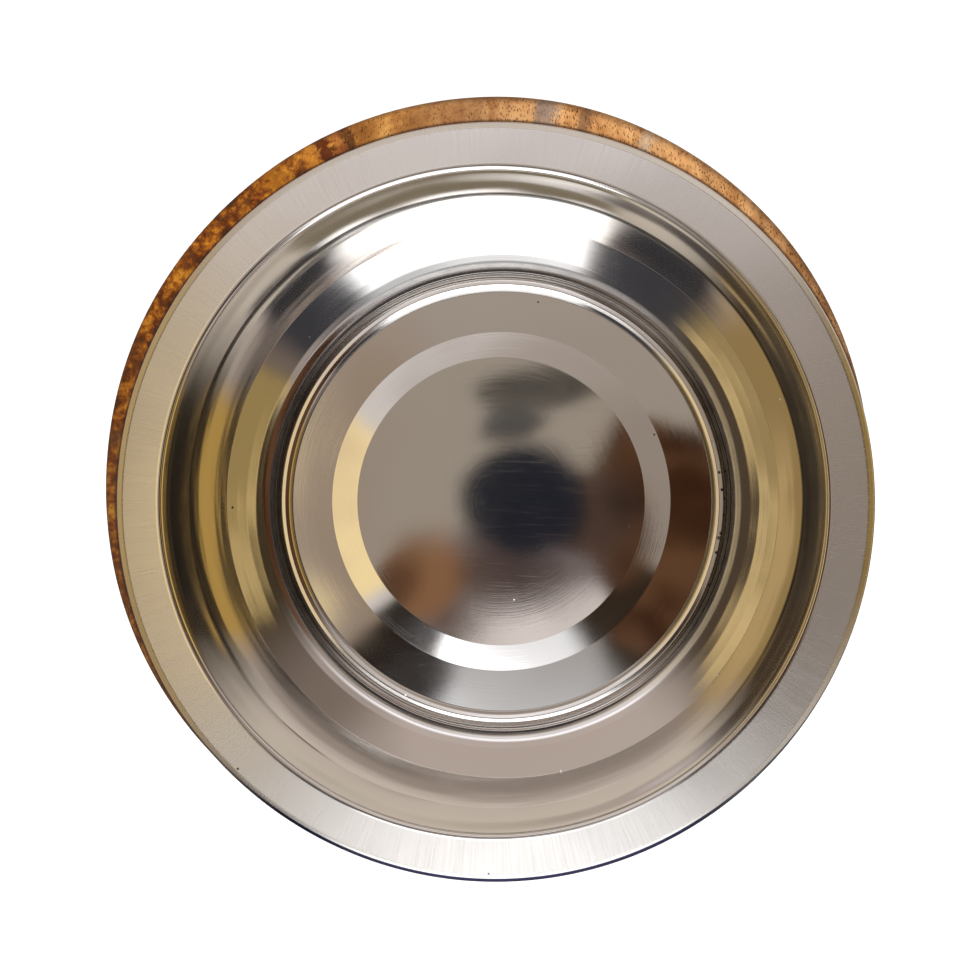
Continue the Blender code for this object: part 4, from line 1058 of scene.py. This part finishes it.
def build_knop():
    mid = (K_HI + K_LO) / 2
    pts = [(25.3, K_HI, 0.0), (58.0, K_HI, 0.7), (58.0, K_HI - 6.2, 0.5)]
    pts += arc(56.6, mid, 21.8, 23.2, 84.0, -84.0, 44)
    pts += [(58.0, K_LO + 6.2, 0.5), (58.0, K_LO, 0.7), (25.3, K_LO, 0.0)]
    turned("knop_wood", "column_knop", pts, 224, wood_material("wood_knop", "Z", 4.0))


def build_lower():
    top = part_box("column_lower")[1].z / MM
    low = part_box("column_lower")[0].z / MM
    sock, foot = top - 25.3, M_HI + 0.3
    pts = [(BORE, sock, 0.0), (25.3, sock, 0.0), (25.3, top, 0.0), (55.0, top, 0.6), (55.0, top - 7.6, 0.7)]
    pts += bezier((53.4, top - 8.8), (47.4, top - 12.0), (46.9, top - 25.0), 16)
    pts += waist(46.8, 45.5, 56.0, top - 26.0, foot + 50.4)
    pts += [(56.2, foot + 49.7, 0.4), (58.3, foot + 49.2, 0.3)]
    pts += arc(56.5, foot + 44.0, 5.0, 5.0, 66.0, -66.0, 18)
    pts += [(58.6, foot + 39.2, 0.3), (56.9, foot + 38.7, 0.4)]
    pts += bezier((57.0, foot + 37.6), (58.5, foot + 14.0), (71.2, foot + 10.6))
    pts += [(72.4, foot + 10.2, 0.3), (72.4, foot + 8.8, 0.4), (74.0, foot + 8.2, 0.6), (74.0, foot, 0.7),
            (30.0, foot, 0.0), (30.0, low, 0.8), (BORE, low, 0.0)]
    turned("column_lower_wood", "column_lower", pts, 192, wood_material("wood_lower", "Z", 5.0))


def build_moulding():
    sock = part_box("column_lower")[0].z / MM - 0.3
    pts = [(BORE, sock, 0.0), (30.3, sock, 0.0), (30.3, M_HI, 0.0), (85.0, M_HI, 0.9), (85.0, M_HI - 6.2, 0.7), (86.6, M_HI - 7.0, 0.4)]
    pts += bezier((87.2, M_HI - 8.4), (99.0, M_LO + 17.0), (143.0, M_LO + 14.6), 30)
    pts += [(146.2, M_LO + 14.3, 0.5), (146.2, M_LO + 12.9, 0.3)]
    pts += arc(151.0, M_LO + 6.5, 6.5, 6.3, 98.0, -76.0, 22)
    pts += [(150.0, M_LO, 0.3), (BORE, M_LO, 0.0)]
    turned("moulding_wood", "base_moulding", pts, 288, wood_material("wood_moulding", "Y", 6.0), dowel_holes("base_dowel"))


def build_plinth():
    pts = [(BORE, P_HI, 0.0), (186.0, P_HI, 0.8), (186.0, P_HI - 1.9, 0.4)]
    pts += arc(188.0, P_HI - 14.0, 12.0, 12.0, 86.0, 0.0, 22)
    pts += [(200.0, P_LO + 6.0, 1.6), (194.4, P_LO, 1.6), (30.0, P_LO, 0.8), (30.0, P_LO + 18.0, 1.0), (BORE, P_LO + 18.0, 0.0)]
    holes = dowel_holes("base_dowel")
    for i in (1, 2, 3, 4):
        lo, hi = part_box("foot_screw_%d" % i)
        holes.append(((lo.x + hi.x) / 2, (lo.y + hi.y) / 2, P_LO * MM - 0.002, hi.z + 0.0003, 0.0023))
    turned("plinth_wood", "base_plinth", pts, 320, wood_material("wood_plinth", "Y", 7.0), holes)


build_housing()
build_collar()
build_upper()
build_knop()
build_lower()
build_moulding()
build_plinth()


# =====================================================================
#  Hardware: rod, nuts, washers, dowels, feet and their screws
# =====================================================================
def zinc_material(name, seed, tint=(0.58, 0.59, 0.60), warm=(0.62, 0.60, 0.50)):
    """Bright zinc plate: spangle, faint yellow passivation and dull scuffs."""
    mat, g, p = new_material(name)
    tc = g.node("ShaderNodeTexCoord")
    pos = g.v("ADD", tc.outputs["Object"], (seed, seed * 0.6, seed * 0.3))
    cell = g.voronoi(pos, 900.0, "F1", 1.0, "Color")
    span = g.xyz(cell)[0]
    blot = g.noise(pos, 240.0, 3.0, 0.6)
    film_and_painted_dark = g.noise(pos, 90.0, 2.0, 0.5)
    col = g.mix(g.remap(film_and_painted_dark, 0.35, 0.70), tint, warm)
    col = g.mix(g.remap(span, 0.0, 1.0, 0.0, 0.22), col, (0.40, 0.41, 0.42))
    dull = g.remap(blot, 0.58, 0.72, 0.0, 1.0)
    col = g.mix(g.m("MULTIPLY", dull, 0.45), col, (0.30, 0.30, 0.29))
    rough = g.m("ADD", 0.26, g.m("MULTIPLY", blot, 0.16))
    rough = g.m("ADD", rough, g.m("MULTIPLY", dull, 0.18), clamp=True)
    g.put(p.inputs["Base Color"], col)
    g.put(p.inputs["Roughness"], rough)
    g.put(p.inputs["Normal"], g.bump(blot, 0.00003, 0.6))
    p.inputs["Metallic"].default_value = 1.0
    return mat


def dowel_material(name, seed):
    """Pale beech: straight fibres, short brown flecks and soft end grain."""
    mat, g, p = new_material(name)
    tc = g.node("ShaderNodeTexCoord")
    x, y, z = g.xyz(g.v("ADD", tc.outputs["Object"], (seed * 0.11, seed * 0.07, 0.0)))
    fib = g.noise(g.vec(g.m("MULTIPLY", x, 1500.0), g.m("MULTIPLY", y, 1500.0), g.m("MULTIPLY", z, 60.0)), 1.0, 3.0, 0.6)
    fleck = g.voronoi(g.vec(g.m("MULTIPLY", x, 1400.0), g.m("MULTIPLY", y, 1400.0), g.m("MULTIPLY", z, 380.0)), 1.0)
    col = g.mix(g.remap(fib, 0.3, 0.7), (0.66, 0.47, 0.29), (0.54, 0.35, 0.19))
    col = g.mix(g.remap(fleck, 0.10, 0.24, 0.55, 0.0), col, (0.30, 0.16, 0.08))
    g.put(p.inputs["Base Color"], col)
    g.put(p.inputs["Roughness"], g.m("ADD", 0.55, g.m("MULTIPLY", fib, 0.15)))
    g.put(p.inputs["Normal"], g.bump(fib, 0.00006, 0.7))
    return mat


def rubber_material(name, seed):
    """Black moulded rubber, greyer where dust clings."""
    mat, g, p = new_material(name)
    tc = g.node("ShaderNodeTexCoord")
    pos = g.v("ADD", tc.outputs["Object"], (seed, 0.0, seed))
    grain = g.noise(pos, 1800.0, 2.0, 0.6)
    dust = g.noise(pos, 130.0, 4.0, 0.65)
    col = g.mix(g.remap(dust, 0.48, 0.74, 0.0, 0.55), (0.016, 0.016, 0.017), (0.085, 0.080, 0.074))
    g.put(p.inputs["Base Color"], col)
    g.put(p.inputs["Roughness"], g.m("ADD", 0.62, g.m("MULTIPLY", dust, 0.22)))
    g.put(p.inputs["Normal"], g.bump(grain, 0.00005, 0.8))
    p.inputs["Specular IOR Level"].default_value = 0.35
    return mat


ROD_LO, ROD_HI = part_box("tie_rod")[0].z / MM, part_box("tie_rod")[1].z / MM
PITCH, THREAD = 1.75, 40.0


def build_rod():
    # M12 thread cut on both ends, plain shank between
    z, pts = ROD_HI, [(0.0, ROD_HI), (4.9, ROD_HI), (5.2, ROD_HI - 0.2)]
    step = PITCH / 8.0
    k = int((THREAD - 1.0) / step)
    pts += [(5.9, ROD_HI - 1.0 - i * step) for i in range(k + 1)]
    mid = [pts[-1][1] - 0.6, ROD_LO + THREAD + 0.6]
    n = 12
    pts += [(5.75, mid[0] + (mid[1] - mid[0]) * i / n) for i in range(n + 1)]
    pts += [(5.9, ROD_LO + 1.0 + (k - i) * step) for i in range(k + 1)]
    pts += [(5.2, ROD_LO + 0.2), (4.9, ROD_LO), (0.0, ROD_LO)]

    def shape(r, z, a):
        end = np.minimum(ROD_HI * MM - z, z - ROD_LO * MM)
        cut = np.clip((THREAD * MM - end) / (1.2 * MM), 0, 1) * (r > 0.00585)
        phase = (z / (PITCH * MM) - a / (2 * math.pi)) % 1.0
        tri = np.clip(1.6 * np.abs(2 * phase - 1.0) - 0.3, 0, 1)
        return r - 0.00092 * cut * (1 - tri), z

    ob = lathe("rod_steel", [(r * MM, h * MM) for r, h in pts], 64, False, shape, sharp=50.0)
    ob.data.materials.append(zinc_material("zinc_rod", 0.3))
    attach(ob, "stand")
    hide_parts("tie_rod")


def build_nut(node, seed):
    lo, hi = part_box(node)
    z0, z1 = lo.z / MM, hi.z / MM
    half = 9.0
    rim = half / math.cos(math.radians(30.0))
    pts = [(6.3, z0 + 0.5), (6.9, z0)]
    pts += [(8.4 + 0.1 * i, z0) for i in range(5)] + [(rim, z0 + 0.12 * i) for i in range(0, 9)]
    pts += [(rim, z0 + 1.2 + (z1 - z0 - 2.4) * i / 6) for i in range(7)]
    pts += [(rim, z1 - 0.12 * (8 - i)) for i in range(0, 9)] + [(8.8 - 0.1 * i, z1) for i in range(5)]
    pts += [(6.9, z1), (6.3, z1 - 0.5)]

    def shape(r, z, a):
        turn = (a + math.pi / 6) % (math.pi / 3) - math.pi / 6
        hexa = half * MM / np.cos(turn)
        edge = np.minimum(z - z0 * MM, z1 * MM - z)
        cone = (half - 0.35) * MM + edge * 1.73
        return np.where(r > 0.0092, np.minimum(np.minimum(hexa, rim * MM - 0.12 * MM), cone), r), z

    def turned_hex(r, z, a):
        return shape(r, z, a)

    ob = lathe(node + "_steel", [(r * MM, h * MM) for r, h in pts], 144, True, turned_hex, sharp=24.0)
    ob.data.materials.append(zinc_material("zinc_" + node, seed))
    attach(ob, "stand")
    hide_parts(node)


def build_washer(node, seed):
    lo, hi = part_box(node)
    a, b = lo.z / MM, hi.z / MM
    pts = [(BORE, a, 0.0), (BORE, b, 0.0), (12.0, b, 0.5), (12.0, a, 0.3), (11.0, a, 0.0)]
    pts = [(BORE, a + 0.2, 0.0), (BORE, b, 0.3), (12.0, b, 0.6), (12.0, a, 0.3), (BORE, a, 0.0)]
    turned(node + "_steel", node, pts, 96, zinc_material("zinc_" + node, seed))


build_rod()
build_nut("top_nut", 1.1)
build_nut("bottom_nut", 1.9)
build_washer("top_washer", 2.3)
build_washer("bottom_washer", 3.1)

for stem in ("collar_dowel", "base_dowel"):
    for i in (1, 2, 3):
        node = "%s_%d" % (stem, i)
        lo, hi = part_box(node)
        r_, zc = 1000 * (hi.x - lo.x) / 2, 0.0
        hgt = 1000 * (hi.z - lo.z) / 2
        path = [(0.0, hgt, 0.0), (r_ - 0.8, hgt, 0.5), (r_, hgt - 0.9, 0.6), (r_, -hgt + 0.9, 0.6), (r_ - 0.8, -hgt, 0.5), (0.0, -hgt, 0.0)]
        c = ((lo.x + hi.x) / 2, (lo.y + hi.y) / 2, (lo.z + hi.z) / 2)
        turned(node + "_beech", node, path, 48, dowel_material("beech_" + node, i + (5.0 if stem[0] == "b" else 0.0)),
               centre=c, closed=False)

for i in (1, 2, 3, 4):
    lo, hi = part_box("foot_%d" % i)
    c = ((lo.x + hi.x) / 2, (lo.y + hi.y) / 2, 0.0)
    zt = hi.z / MM
    path = [(2.6, zt, 0.0), (14.5, zt, 0.5), (16.5, 1.2, 0.9), (15.3, 0.0, 0.5), (12.8, 0.0, 0.2), (12.5, 0.5, 0.2),
            (9.4, 0.5, 0.2), (9.1, 0.0, 0.2), (5.5, 0.0, 0.4), (5.5, 4.3, 0.4), (2.6, 4.3, 0.0)]
    turned("foot_%d_rubber" % i, "foot_%d" % i, path, 96, rubber_material("rubber_%d" % i, i * 0.7), centre=c)
    lo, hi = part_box("foot_screw_%d" % i)
    st = hi.z / MM
    path = [(0.0, st, 0.0), (0.5, st - 0.7, 0.2), (2.0, st - 3.5, 0.5), (2.0, 4.0, 0.0), (4.5, 4.0, 0.2), (4.5, 2.4, 0.5), (3.1, 0.8, 0.4), (1.3, 0.8, 0.1),
            (1.1, 2.2, 0.2), (0.0, 2.2, 0.0)]
    turned("foot_screw_%d_steel" % i, "foot_screw_%d" % i, path, 48, zinc_material("zinc_screw_%d" % i, i * 1.3), centre=c, closed=False)

# view settings: plain sRGB, so that the white floor is white
bpy.context.scene.view_settings.view_transform = "Standard"
bpy.context.scene.view_settings.look = "None"

lo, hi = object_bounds()
